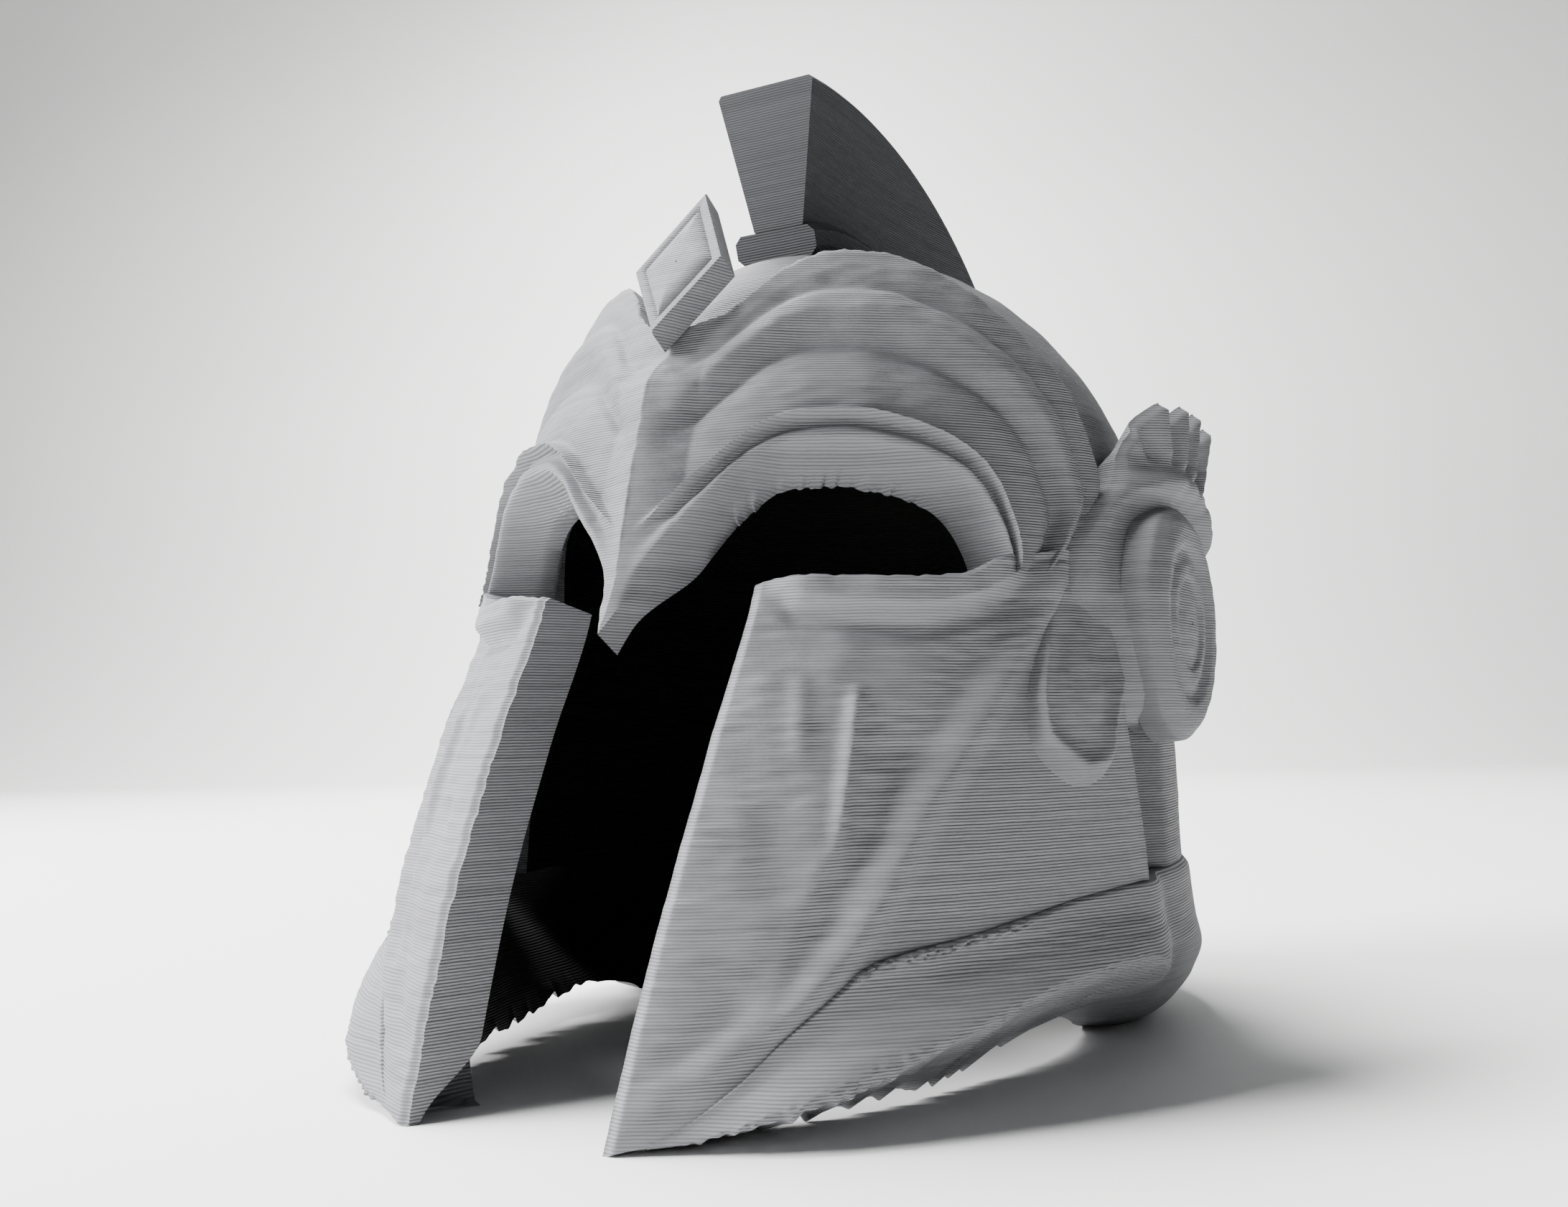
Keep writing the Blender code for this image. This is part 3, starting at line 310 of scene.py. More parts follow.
above = np.degrees(np.arcsin(np.clip((skull_rim - SPRING_HEIGHT) / dome, 0.0, 1.0)))
below = SKULL_SWEEP * np.clip((SPRING_HEIGHT - skull_rim) / SPRING_HEIGHT, 0.0, 1.0)
climb = (above - below) + np.linspace(0.0, 0.995, 90)[:, None] * (90.0 - above + below)
skull_height = np.where(
    climb < 0.0,
    SPRING_HEIGHT * (1.0 + climb / SKULL_SWEEP),
    SPRING_HEIGHT + dome * np.sin(np.radians(np.maximum(climb, 0.0))),
)
skull_lift = 0.05 * waver(skull_around / 9.0, skull_height / 1.2, 3)
RECESS_DEPTH = 1.9
RECESS_FRONT = (72.0, 75.0)
RECESS_REAR = (85.0, 91.0)
RECESS_TOP = (25.0, 29.0)
recess = smooth_step(*RECESS_FRONT, beside) * fade_out(*RECESS_REAR, beside)
recess = recess * fade_out(*RECESS_TOP, skull_height)
skull_lift = skull_lift - RECESS_DEPTH * recess
skull_outer = lifted(skull_section, skull_around, skull_height, skull_lift)
skull_inner = lifted(skull_section, skull_around, skull_height, -SKULL_WALL)
# Every piece is one grey plastic; each gets a grey of its own, set to its tone in the light, so the spread
# between these greys is painted light and shade. The skull's is the darkest of them.
SKULL_GREY = (0.160, 0.162, 0.173)
# Near-black grey for the insides of skull, cheek guards and collar: painted shade, for they are the same
# grey plastic as the outside.
PAINTED_SHADE_GREY = (0.012, 0.012, 0.013)
skull_finish = layered_grey("skull_grey", SKULL_GREY, line_depth=0.075, drift_depth=0.05)
painted_shade_finish = layered_grey("painted_shade_grey", PAINTED_SHADE_GREY, line_depth=0.075, drift_depth=0.05)
# The skull's inner faces take the near-black painted shade.
shell_piece("skull", "bowl", skull_outer, skull_inner, skull_finish, ring=True, painted_shade_inside=True)

# Cheek guards: the long plates beside the mouth, grey plastic printed in one with the skull. Each has a
# lip under the eye, a plain border along its front edge, a diagonal ridge down to the tip and soft flutes
# ahead of it, and gets thicker towards its foot.
VISOR_PEAK = 60.0
FACE_HALF_WIDTH = 32.6
EYE_LINE = 34.0
PLATE = 1.8
PLATE_FOOT = 4.5
FOOT_FADE = (54.0, 64.0)
REAR_FLANGE = 2.8
FLANGE_FRONT = (63.0, 67.0)
FLANGE_TOP = (31.0, 34.0)
EDGE_THICKNESS = 4.4
EDGE_FADE = (4.0, 11.0)
TIP_THICKNESS = 1.2
TIP_HEIGHT = 6.0
COLLAR_LAP = 0.7
MM_PER_DEGREE = 0.45
LIP_RELIEF = 1.15
LIP_FRONT = (21.5, 27.5)
LIP_REAR = (51.0, 56.5)
CREASE_DEPTH = 0.45
RIDGE_SWELL = 0.72
RIDGE_FOOT = (1.5, 8.0)
STREAK_RELIEF = 0.085
LUMP_RELIEF = 0.13
FINE_RELIEF = 0.018
FACE_SECTIONS = (
    {"height": 0.0, "half_width": 1.025, "front": -0.006},
    {"height": 0.11, "half_width": 1.012, "front": 0.022},
    {"height": 0.243, "half_width": 1.0, "front": 0.062},
    {"height": 0.41, "half_width": 0.96, "front": 0.124},
    {"height": 0.56, "half_width": 0.908, "front": 0.186},
    {"height": 0.677, "half_width": 0.871, "front": 0.211},
    {"height": 0.793, "half_width": 0.813, "front": 0.236},
    {"height": 0.893, "half_width": 0.736, "front": 0.276},
    {"height": 1.01, "half_width": 0.629, "front": 0.329},
)
CHEEK_RIBS = (
    {"foot_around": 15.8, "head_around": 20.7, "head": 34.0},
    {"foot_around": 21.0, "head_around": 25.0, "head": 34.0},
    {"foot_around": 28.0, "head_around": 31.0, "head": 33.95},
    {"foot_around": 36.0, "head_around": 38.5, "head": 33.9},
    {"foot_around": 44.0, "head_around": 45.5, "head": 34.1},
    {"foot_around": 52.0, "head_around": 51.5, "head": 35.4},
    {"foot_around": 61.0, "head_around": 60.5, "head": 36.2},
    {"foot_around": 70.5, "head_around": 68.0, "head": 36.4},
)
LIP_LINE = (
    {"around": 20.0, "low": 33.9},
    {"around": 24.0, "low": 32.9},
    {"around": 27.0, "low": 32.1},
    {"around": 33.6, "low": 31.6},
    {"around": 41.2, "low": 31.4},
    {"around": 46.4, "low": 31.9},
    {"around": 52.2, "low": 33.3},
    {"around": 58.0, "low": 35.3},
)
CHEEK_RIDGE = (
    {"height": 0.0, "around": 15.5},
    {"height": 3.2, "around": 22.5},
    {"height": 5.6, "around": 27.8},
    {"height": 8.0, "around": 32.4},
    {"height": 10.3, "around": 35.5},
    {"height": 13.2, "around": 38.3},
    {"height": 16.7, "around": 40.8},
    {"height": 20.3, "around": 44.1},
    {"height": 24.1, "around": 48.3},
    {"height": 29.9, "around": 54.8},
    {"height": 36.0, "around": 62.0},
)
CHEEK_FLUTES = (
    {"top": 26.4, "foot": 16.5, "top_around": 34.5, "foot_around": 34.2, "relief": 0.62, "width": 0.95},
    {"top": 17.5, "foot": 6.0, "top_around": 34.2, "foot_around": 28.0, "relief": 0.34, "width": 1.9},
    {"top": 27.5, "foot": 22.0, "top_around": 28.0, "foot_around": 29.4, "relief": 0.22, "width": 1.3},
    {"top": 19.5, "foot": 13.5, "top_around": 27.2, "foot_around": 28.6, "relief": -0.3, "width": 2.4},
    {"top": 24.0, "foot": 14.0, "top_around": 39.5, "foot_around": 36.2, "relief": -0.28, "width": 2.6},
    {"top": 13.5, "foot": 5.0, "top_around": 35.6, "foot_around": 27.4, "relief": -0.26, "width": 1.8},
)


def face_section(height):
    """The same three sizes for the outside of the plates on the face, which stand off the skull."""
    share = height / VISOR_PEAK
    half_width = FACE_HALF_WIDTH * read_table(FACE_SECTIONS, "height", "half_width", share)
    front = HELMET_DEPTH * read_table(FACE_SECTIONS, "height", "front", share)
    on_skull = np.clip(height / SPRING_HEIGHT, 0, 1)
    back = HELMET_DEPTH * read_table(SKULL_SECTIONS, "height", "back", on_skull)
    return half_width, front, back + FACE_HALF_WIDTH - SKULL_HALF_WIDTH


def cheek_relief(around, height, seed):
    """Everything that stands off the plain cheek: lip, ridge, flutes and the print's own waver."""
    low = read_table(LIP_LINE, "around", "low", around)
    inside = smooth_step(*LIP_FRONT, around) * fade_out(*LIP_REAR, around)
    lip = LIP_RELIEF * inside * smooth_step(low - 0.5, low + 0.7, height)
    crease = -CREASE_DEPTH * inside * bump_line(height, low - 0.8, 0.8)
    line = read_table(CHEEK_RIDGE, "height", "around", height)
    strength = smooth_step(*RIDGE_FOOT, height)
    ridge = smooth_step(-5.0, 0.0, around - line) * fade_out(0.0, 3.4, around - line)
    ridge = RIDGE_SWELL * ridge
    ridge = strength * (ridge - 0.24 * bump_line(around, line - 5.5, 2.6))
    panel = fade_out(-1.0, 2.5, around - line)
    flutes = 0.0
    for flute in CHEEK_FLUTES:
        share = np.clip((flute["top"] - height) / (flute["top"] - flute["foot"]), -0.3, 1.3)
        course = flute["top_around"] + share * (flute["foot_around"] - flute["top_around"])
        ends = smooth_step(-0.08, 0.14, share) * fade_out(0.8, 1.12, share)
        flutes = flutes + flute["relief"] * ends * bump_line(around, course, flute["width"])
    streaks = STREAK_RELIEF * panel * waver(around / 3.1, height / 0.45, seed)
    lumps = LUMP_RELIEF * panel * waver(around / 4.0 + 7.0, height / 2.4, seed + 1)
    fine = FINE_RELIEF * waver(around / 2.0, height / 0.3, seed + 2)
    return lip + crease + ridge + flutes + streaks + lumps + fine


def plate_wall(around, height):
    """Thickness of the plates, which grows towards their foot as far back as the skull."""
    foot = np.clip(1.0 - height / EYE_LINE, 0.0, 1.0)
    return PLATE + PLATE_FOOT * foot * fade_out(*FOOT_FADE, around)


def cheek_guard(side, name, node, seed):
    """One cheek guard, with its edges bevelled and its rear edge thickened back to the skull."""
    share = np.linspace(0.0, len(CHEEK_RIBS) - 1, 150)
    knots = np.arange(len(CHEEK_RIBS), dtype=float)
    edge = {key: smooth_curve(share, knots, column(CHEEK_RIBS, key)) for key in CHEEK_RIBS[0]}
    foot = COLLAR_HEIGHT * read_table(COLLAR_LINE, "around", "height", edge["foot_around"])
    foot = foot - COLLAR_LAP * smooth_step(18.0, 26.0, edge["foot_around"])
    way = np.linspace(0.0, 1.0, 190)[:, None]
    around = edge["foot_around"] + way * (edge["head_around"] - edge["foot_around"])
    height = foot + way * (edge["head"] - foot)
    out = cheek_relief(around, height, seed)
    from_front = (around - around[:, :1]) * MM_PER_DEGREE
    out = out - 0.45 * fade_out(0.0, 0.55, from_front)
    from_top = edge["head"] - height
    out = out - 0.35 * fade_out(0.0, 0.35, from_top) * fade_out(48.0, 52.0, around)
    out = out - 0.9 * smooth_step(58.0, 66.0, around) * smooth_step(33.5, 36.0, height)
    rear = np.clip(around - (edge["head_around"][-1] - 1.2), 0.0, 3.0)
    out = out - 0.25 * smooth_step(0.0, 3.0, rear)
    rough_top = 0.07 * waver(around / 0.9, 0.0, seed + 5) * fade_out(0.0, 0.25, from_top)
    height = height + rough_top * fade_out(47.0, 50.0, around)
    tip = smooth_step(0.0, TIP_HEIGHT, height)
    front = fade_out(*EDGE_FADE, around - around[:, :1])
    wall = plate_wall(around, height)
    sink = TIP_THICKNESS + tip * (wall - TIP_THICKNESS + front * (EDGE_THICKNESS - wall))
    flange = smooth_step(*FLANGE_FRONT, around) * fade_out(*FLANGE_TOP, height)
    sink = sink + REAR_FLANGE * flange
    outer = lifted(face_section, around, height, out)
    inner = lifted(face_section, around, height, -sink)
    mirror = np.array([side, 1.0, 1.0])
    for grid in (outer, inner):
        grid *= mirror
        grid[..., 2] = np.maximum(grid[..., 2], 0.0)
    # The cheek guard's inner faces take the near-black painted shade.
    shell_piece(name, node, outer, inner, cheek_finish, painted_shade_inside=True)


# Cheek guards: the lightest of the per-piece greys of the one plastic, painted light that lifts their tone.
CHEEK_GREY = (0.205, 0.207, 0.220)
cheek_finish = layered_grey("cheek_grey", CHEEK_GREY, line_depth=0.05, drift_depth=0.07)
cheek_guard(1.0, "cheek_left", "cheek_guard_left", 11)
cheek_guard(-1.0, "cheek_right", "cheek_guard_right", 21)

# Brow visor: the raised plate over the eyes with its two arches, matt grey plastic printed in one with the
# skull. Round each eye runs a soft tube with a ragged lower edge, a sharp crest follows above it, and two
# soft arcs go up the brow. The nasal comes down to a point between the eyes.
NASAL_DEPTH = 1.3
RIM_BLEND = 4.0
RIDGE_RELIEF = 1.3
RIDGE_HALF_WIDTH = 3.4
RIDGE_TOP = (0.80, 0.86)
NASAL_SWELL = 0.5
NASAL_TOP = (0.52, 0.62)
RIM_WAY = 0.25
VISOR_RIBS = (
    {"eye_around": 0.0, "eye": 0.497, "top_around": 0.0, "top": 0.893, "rim": 0.3},
    {"eye_around": 2.6, "eye": 0.535, "top_around": 7.0, "top": 0.898, "rim": 0.28},
    {"eye_around": 5.8, "eye": 0.57, "top_around": 12.0, "top": 0.915, "rim": 0.26},
    {"eye_around": 12.0, "eye": 0.625, "top_around": 18.5, "top": 0.958, "rim": 0.225},
    {"eye_around": 18.0, "eye": 0.676, "top_around": 25.0, "top": 0.986, "rim": 0.205},
    {"eye_around": 24.0, "eye": 0.702, "top_around": 31.5, "top": 0.997, "rim": 0.19},
    {"eye_around": 31.0, "eye": 0.706, "top_around": 40.5, "top": 0.994, "rim": 0.19},
    {"eye_around": 38.4, "eye": 0.698, "top_around": 52.0, "top": 0.962, "rim": 0.185},
    {"eye_around": 45.4, "eye": 0.678, "top_around": 62.5, "top": 0.904, "rim": 0.165},
    {"eye_around": 49.2, "eye": 0.646, "top_around": 70.6, "top": 0.812, "rim": 0.13},
    {"eye_around": 51.3, "eye": 0.61, "top_around": 72.2, "top": 0.715, "rim": 0.1},
    {"eye_around": 52.1, "eye": 0.586, "top_around": 67.5, "top": 0.64, "rim": 0.1},
    {"eye_around": 52.5, "eye": 0.572, "top_around": 61.0, "top": 0.576, "rim": 0.1},
)
VISOR_STEPS = (
    {"way": 0.0, "relief": -3.2, "sink": -4.4},
    {"way": 0.03, "relief": -2.2, "sink": -4.6},
    {"way": 0.06, "relief": -1.1, "sink": -4.7},
    {"way": 0.08, "relief": -0.25, "sink": -4.7},
    {"way": 0.095, "relief": 0.45, "sink": -4.6},
    {"way": 0.11, "relief": 0.82, "sink": -4.5},
    {"way": 0.135, "relief": 0.88, "sink": -4.4},
    {"way": 0.165, "relief": 0.55, "sink": -4.4},
    {"way": 0.195, "relief": 0.2, "sink": -4.3},
    {"way": 0.22, "relief": 0.22, "sink": -4.0},
    {"way": 0.236, "relief": 0.7, "sink": -3.9},
    {"way": 0.25, "relief": 1.35, "sink": -3.8},
    {"way": 0.262, "relief": 0.8, "sink": -3.6},
    {"way": 0.276, "relief": 0.2, "sink": -3.2},
    {"way": 0.295, "relief": 0.02, "sink": -2.8},
    {"way": 0.335, "relief": 0.0, "sink": -2.4},
    {"way": 0.44, "relief": -0.1, "sink": -3.4},
    {"way": 0.52, "relief": -0.35, "sink": -3.4},
    {"way": 0.575, "relief": -0.8, "sink": -3.4},
    {"way": 0.605, "relief": -0.6, "sink": -3.4},
    {"way": 0.655, "relief": 0.0, "sink": -3.4},
    {"way": 0.72, "relief": 0.48, "sink": -3.4},
    {"way": 0.775, "relief": 0.34, "sink": -3.4},
    {"way": 0.83, "relief": -0.14, "sink": -3.4},
    {"way": 0.9, "relief": 0.06, "sink": -3.4},
    {"way": 0.98, "relief": 0.1, "sink": -3.4},
    {"way": 1.0, "relief": -0.05, "sink": -3.4},
)
visor_share = np.linspace(0.0, len(VISOR_RIBS) - 1, 170)
visor_knots = np.arange(len(VISOR_RIBS), dtype=float)
rib = {key: smooth_curve(visor_share, visor_knots, column(VISOR_RIBS, key)) for key in VISOR_RIBS[0]}
visor_step = np.concatenate([np.linspace(0.0, 1.0, 110), np.linspace(0.2, 0.3, 21)[1:-1]])
visor_step = np.sort(visor_step)[:, None]
under = visor_step / RIM_WAY * rib["rim"]
over = rib["rim"] + (visor_step - RIM_WAY) / (1.0 - RIM_WAY) * (1.0 - rib["rim"])
visor_way = np.where(visor_step < RIM_WAY, under, over)
visor_around = rib["eye_around"] + visor_way * (rib["top_around"] - rib["eye_around"])
visor_height = VISOR_PEAK * (rib["eye"] + visor_way * (rib["top"] - rib["eye"]))
visor_beside = np.abs(on_section(face_section, visor_around, visor_height)[..., 0])
visor_blend = smooth_step(0.5, RIM_BLEND, visor_beside)
nose_ridge = RIDGE_RELIEF * np.clip(1.0 - visor_beside / RIDGE_HALF_WIDTH, 0.0, 1.0)
nose_ridge = nose_ridge * fade_out(*RIDGE_TOP, visor_height / VISOR_PEAK)
visor_middle = -NASAL_DEPTH - NASAL_SWELL * smooth_step(*NASAL_TOP, visor_height / VISOR_PEAK)


def visor_half(side, seed):
    """Outer and inner skin of one half, its steps blended out on the middle line."""
    relief = read_table(VISOR_STEPS, "way", "relief", visor_step) * visor_blend + nose_ridge
    relief = relief + 0.05 * waver(visor_around / 3.0, visor_height / 0.5, seed)
    relief = relief + 0.07 * waver(visor_around / 5.0, visor_height / 2.2, seed + 1)
    crest = bump_line(visor_step, RIM_WAY, 0.012)
    relief = relief + 0.08 * crest * waver(visor_share * 9.0, 0.0, seed + 2) * visor_blend
    edge = fade_out(0.0, 0.05, visor_step)
    sag = edge * smooth_step(3.0, 3.6, visor_share) * fade_out(7.6, 8.4, visor_share)
    height = visor_height - 0.28 * sag * np.abs(waver(visor_share * 7.0, 0.0, seed + 3))
    top_edge = 0.10 * smooth_step(0.97, 1.0, visor_step) * waver(visor_share * 8.0, 0.0, seed + 4)
    sink = read_table(VISOR_STEPS, "way", "sink", visor_step)
    sink = visor_middle + visor_blend * (sink - visor_middle)
    outer = lifted(face_section, visor_around, height + top_edge, relief)
    inner = lifted(face_section, visor_around, height + top_edge, sink)
    mirror = np.array([side, 1.0, 1.0])
    return outer * mirror, inner * mirror


# Visor and finial: a per-piece grey of the one plastic, its difference from the others painted light and
# shade.
BROW_GREY = (0.170, 0.172, 0.183)
brow_finish = layered_grey("brow_grey", BROW_GREY, line_depth=0.055, drift_depth=0.06)
visor_skins = []
for left, right in zip(visor_half(1.0, 31), visor_half(-1.0, 41)):
    left[:, 0] = 0.5 * (left[:, 0] + right[:, 0])
    visor_skins.append(np.concatenate([right[:, :0:-1], left], axis=1))
shell_piece("visor", "brow_visor", *visor_skins, brow_finish)

# Brow finial: a thick diamond that leans back between the two arches, its face a little raised inside a
# narrow border. It is of the same grey plastic and printed with the visor.
FINIAL_LENGTH = 14.85
FINIAL_HALF_WIDTH = 3.85
FINIAL_THICKNESS = 2.1
FINIAL_FOOT_HEIGHT = 51.2
FINIAL_LEAN = 31.2
FINIAL_BROAD = 0.47
FINIAL_SEAT = 0.4
FINIAL_STEPS = (
    {"reach": 1.0, "rise": -2.1},
    {"reach": 1.0, "rise": -0.2},
    {"reach": 0.97, "rise": 0.0},
    {"reach": 0.84, "rise": 0.02},
    {"reach": 0.76, "rise": -0.12},
    {"reach": 0.66, "rise": 0.16},
    {"reach": 0.4, "rise": 0.26},
    {"reach": 0.02, "rise": 0.28},
)
finial_corner = (
    (0.0, 0.0),
    (FINIAL_HALF_WIDTH, FINIAL_BROAD),
    (0.0, 1.0),
    (-FINIAL_HALF_WIDTH, FINIAL_BROAD),
)
finial_outline = []
for start, end in zip(finial_corner, finial_corner[1:] + finial_corner[:1]):
    for share in np.linspace(0.0, 1.0, 15)[:-1]:
        finial_outline.append([a + share * (b - a) for a, b in zip(start, end)])
finial_outline = np.array(finial_outline)
finial_lean = math.radians(FINIAL_LEAN)
finial_along = np.array([0.0, math.sin(finial_lean), math.cos(finial_lean)])
finial_in = np.array([0.0, math.cos(finial_lean), -math.sin(finial_lean)])
finial_seat = np.array([0.0, float(face_section(FINIAL_FOOT_HEIGHT)[1]), FINIAL_FOOT_HEIGHT])
finial_seat = finial_seat - FINIAL_SEAT * finial_in


def finial_ring(reach, rise):
    """The diamond at a share of its size, raised off the finial's back."""
    x = finial_outline[:, 0] * reach
    run = (FINIAL_BROAD + (finial_outline[:, 1] - FINIAL_BROAD) * reach) * FINIAL_LENGTH
    ring = finial_seat + np.outer(run, finial_along) - rise * finial_in
    return ring + np.stack([x, 0 * x, 0 * x], axis=-1)


finial_front = np.array([finial_ring(row["reach"], FINIAL_THICKNESS + row["rise"]) for row in FINIAL_STEPS])
finial_back = np.array([finial_ring(reach, 0.0) for reach in np.linspace(1.0, 0.02, len(FINIAL_STEPS))])
finial_back[0] = finial_front[0] + 0.02 * finial_in
finial_finish = layered_grey("finial_grey", BROW_GREY, line_depth=0.05, drift_depth=0.06)
shell_piece("finial", "brow_finial", finial_front, finial_back, finial_finish, ring=True, sharp=35.0)

# Collar and neck guard: the flared band that the helmet stands on, matt grey plastic printed in one with
# the rest. Under the cheeks it has a thick underside, with a hem that is ragged where the layers start in
# the air, and behind it swells into a rolled neck guard.
COLLAR_FLARE = 2.0
NECK_BULGE = 1.1
NECK_CURL = 6.0
NECK_WALL = 2.4
NECK_FRONT = (67.0, 86.0)
FLUSH_DEPTH = 0.6
TOOTH_WIDTH = 1.45
TOOTH_HEIGHT = 0.34
RAGGED_HEM = 0.5
HEM_LINE = (
    {"around": 15.8, "height": 0.02},
    {"around": 24.0, "height": 0.05},
    {"around": 30.0, "height": 0.105},
    {"around": 35.0, "height": 0.18},
    {"around": 41.0, "height": 0.29},
    {"around": 47.0, "height": 0.41},
    {"around": 53.0, "height": 0.52},
    {"around": 61.0, "height": 0.61},
    {"around": 66.0, "height": 0.63},
    {"around": 70.0, "height": 0.56},
    {"around": 75.0, "height": 0.42},
    {"around": 81.0, "height": 0.28},
    {"around": 91.0, "height": 0.12},
    {"around": 106.0, "height": 0.0},
    {"around": 180.0, "height": 0.0},
)
COLLAR_INSIDE = (
    {"around": 20.0, "depth": 0.11, "height": 0.01},
    {"around": 24.0, "depth": 0.17, "height": 0.03},
    {"around": 34.0, "depth": 0.39, "height": 0.107},
    {"around": 44.0, "depth": 0.51, "height": 0.137},
    {"around": 54.0, "depth": 0.65, "height": 0.16},
    {"around": 64.0, "depth": 0.78, "height": 0.221},
    {"around": 74.0, "depth": 0.88, "height": 0.25},
    {"around": 84.0, "depth": 0.96, "height": 0.183},
    {"around": 94.0, "depth": 1.0, "height": 0.076},
    {"around": 106.0, "depth": 1.0, "height": 0.0},
    {"around": 180.0, "depth": 1.0, "height": 0.0},
)
COLLAR_STEPS = (
    {"way": 0.0, "cheek": 0.1, "neck": 0.0, "curl": 0.0, "inside": 0.0},
    {"way": 0.06, "cheek": 0.24, "neck": 0.42, "curl": 0.0, "inside": 0.02},
    {"way": 0.22, "cheek": 0.26, "neck": 0.52, "curl": 0.0, "inside": 0.12},
    {"way": 0.36, "cheek": 0.34, "neck": 0.66, "curl": 0.0, "inside": 0.26},
    {"way": 0.5, "cheek": 0.52, "neck": 0.92, "curl": 0.0, "inside": 0.44},
    {"way": 0.67, "cheek": 0.74, "neck": 0.95, "curl": 0.16, "inside": 0.66},
    {"way": 0.8, "cheek": 0.9, "neck": 0.5, "curl": 0.31, "inside": 0.8},
    {"way": 0.91, "cheek": 0.98, "neck": 0.2, "curl": 0.56, "inside": 0.92},
    {"way": 1.0, "cheek": 0.88, "neck": 0.0, "curl": 1.0, "inside": 1.0},
)


def collar_half(side, seed):
    """Outer and inner skin of one half, from the cheek's tip round to the middle of the neck."""
    beside_face, beside_ear = np.linspace(20.0, 72.0, 210), np.linspace(73.0, 100.0, 45)
    half = np.concatenate([beside_face, beside_ear, np.linspace(102.0, 180.0, 46)])
    top = COLLAR_HEIGHT * read_table(COLLAR_LINE, "around", "height", half) + 0.1
    hem = COLLAR_HEIGHT * read_table(HEM_LINE, "around", "height", half)
    way = np.linspace(0.0, 1.0, 64)[:, None]
    height = top + way * (hem - top)
    behind = smooth_step(*NECK_FRONT, half)
    beside_cheek = fade_out(66.0, 80.0, half)
    cheek = smooth_step(20.0, 36.0, half) * COLLAR_FLARE * read_table(COLLAR_STEPS, "way", "cheek", way)
    neck = NECK_BULGE * read_table(COLLAR_STEPS, "way", "neck", way)
    neck = neck - NECK_CURL * read_table(COLLAR_STEPS, "way", "curl", way)
    swell = FACE_HALF_WIDTH - SKULL_HALF_WIDTH
    neck = neck - swell
    out = cheek + behind * (neck - cheek)
    flush = fade_out(0.0, 0.10, way) * fade_out(34.0, 40.0, half)
    out = out - FLUSH_DEPTH * flush
    wall = plate_wall(half, top)
    deep = (swell + NECK_CURL + NECK_WALL) * read_table(COLLAR_INSIDE, "around", "depth", half)
    sink = -wall - (deep - wall) * read_table(COLLAR_STEPS, "way", "inside", way)
    sink = sink + behind * (neck - NECK_WALL - sink)
    inside = COLLAR_HEIGHT * read_table(COLLAR_INSIDE, "around", "height", half)
    inner_height = top + way * (inside - top)
    scar = bump_line(height, top - 0.35, 0.36)
    scar = scar * smooth_step(34.0, 38.0, half) * fade_out(50.0, 58.0, half)
    out = out + 0.22 * scar * waver(half / 0.3, height / 0.14, seed) + 0.10 * scar
    out = out + 0.045 * beside_cheek * waver(half / 3.0, height / 0.4, seed + 1)
    out = out + 0.10 * beside_cheek * waver(half / 6.0, height / 2.5, seed + 2)
    teeth = beside_cheek * smooth_step(22.0, 27.0, half) * smooth_step(0.80, 1.0, way)
    tooth = np.abs(((half / TOOTH_WIDTH + 0.5 * waver(half / 5.0, 0.0, seed + 3)) % 1.0) * 2.0 - 1.0)
    tooth = TOOTH_HEIGHT * tooth * (1.0 + 0.8 * waver(half / 2.0, 1.0, seed + 4))
    height = np.maximum(height - teeth * tooth + 0.15 * teeth, 0.0)
    out = out + 0.12 * teeth * waver(half / 0.5, height / 0.2, seed + 5)
    ragged = beside_cheek * smooth_step(0.86, 1.0, way)
    inner_height = inner_height + RAGGED_HEM * ragged * waver(half / 1.2, 0.0, seed + 6)
    skins = []
    for level, lift in ((height, out), (inner_height, sink)):
        skin = lifted(face_section, half, level, lift) * np.array([side, 1.0, 1.0])
        skin[..., 2] = np.maximum(skin[..., 2], 0.0)
        skins.append(skin)
    return skins


collar_skins = []
for left, right in zip(collar_half(1.0, 51), collar_half(-1.0, 61)):
    collar_skins.append(np.concatenate([left, right[:, -2::-1]], axis=1))
# Collar: a light per-piece grey of the one plastic, painted light that lifts its tone.
COLLAR_GREY = (0.200, 0.202, 0.215)
collar_finish = layered_grey("collar_grey", COLLAR_GREY, line_depth=0.05, drift_depth=0.07)
# The collar's inner faces take the near-black painted shade.
shell_piece("collar", "neck_guard", *collar_skins, collar_finish, painted_shade_inside=True)

# Ear roundels: round bosses of the same grey plastic, each with a broad outer ring and a smaller ring
# inside it. They are printed on the wings, and their root is sunk into them.
ROUNDEL_RADIUS = 8.0
ROUNDEL_HEIGHT = 31.4
ROUNDEL_SEAT = 30.2
ROUNDEL_ROOT = 1.7
ROUNDEL_PROFILE = (
    {"reach": 1.12, "rise": -1.6},
    {"reach": 1.1, "rise": 0.1},
    {"reach": 1.04, "rise": 0.62},
    {"reach": 0.97, "rise": 1.05},
    {"reach": 0.88, "rise": 1.3},
    {"reach": 0.79, "rise": 1.24},
    {"reach": 0.73, "rise": 0.95},
    {"reach": 0.68, "rise": 0.74},
    {"reach": 0.62, "rise": 0.84},
    {"reach": 0.54, "rise": 1.14},
    {"reach": 0.47, "rise": 1.14},
    {"reach": 0.41, "rise": 0.84},
    {"reach": 0.33, "rise": 0.9},
    {"reach": 0.18, "rise": 1.16},
    {"reach": 0.02, "rise": 1.24},
)
ring_way = np.linspace(0.0, 1.0, 60)
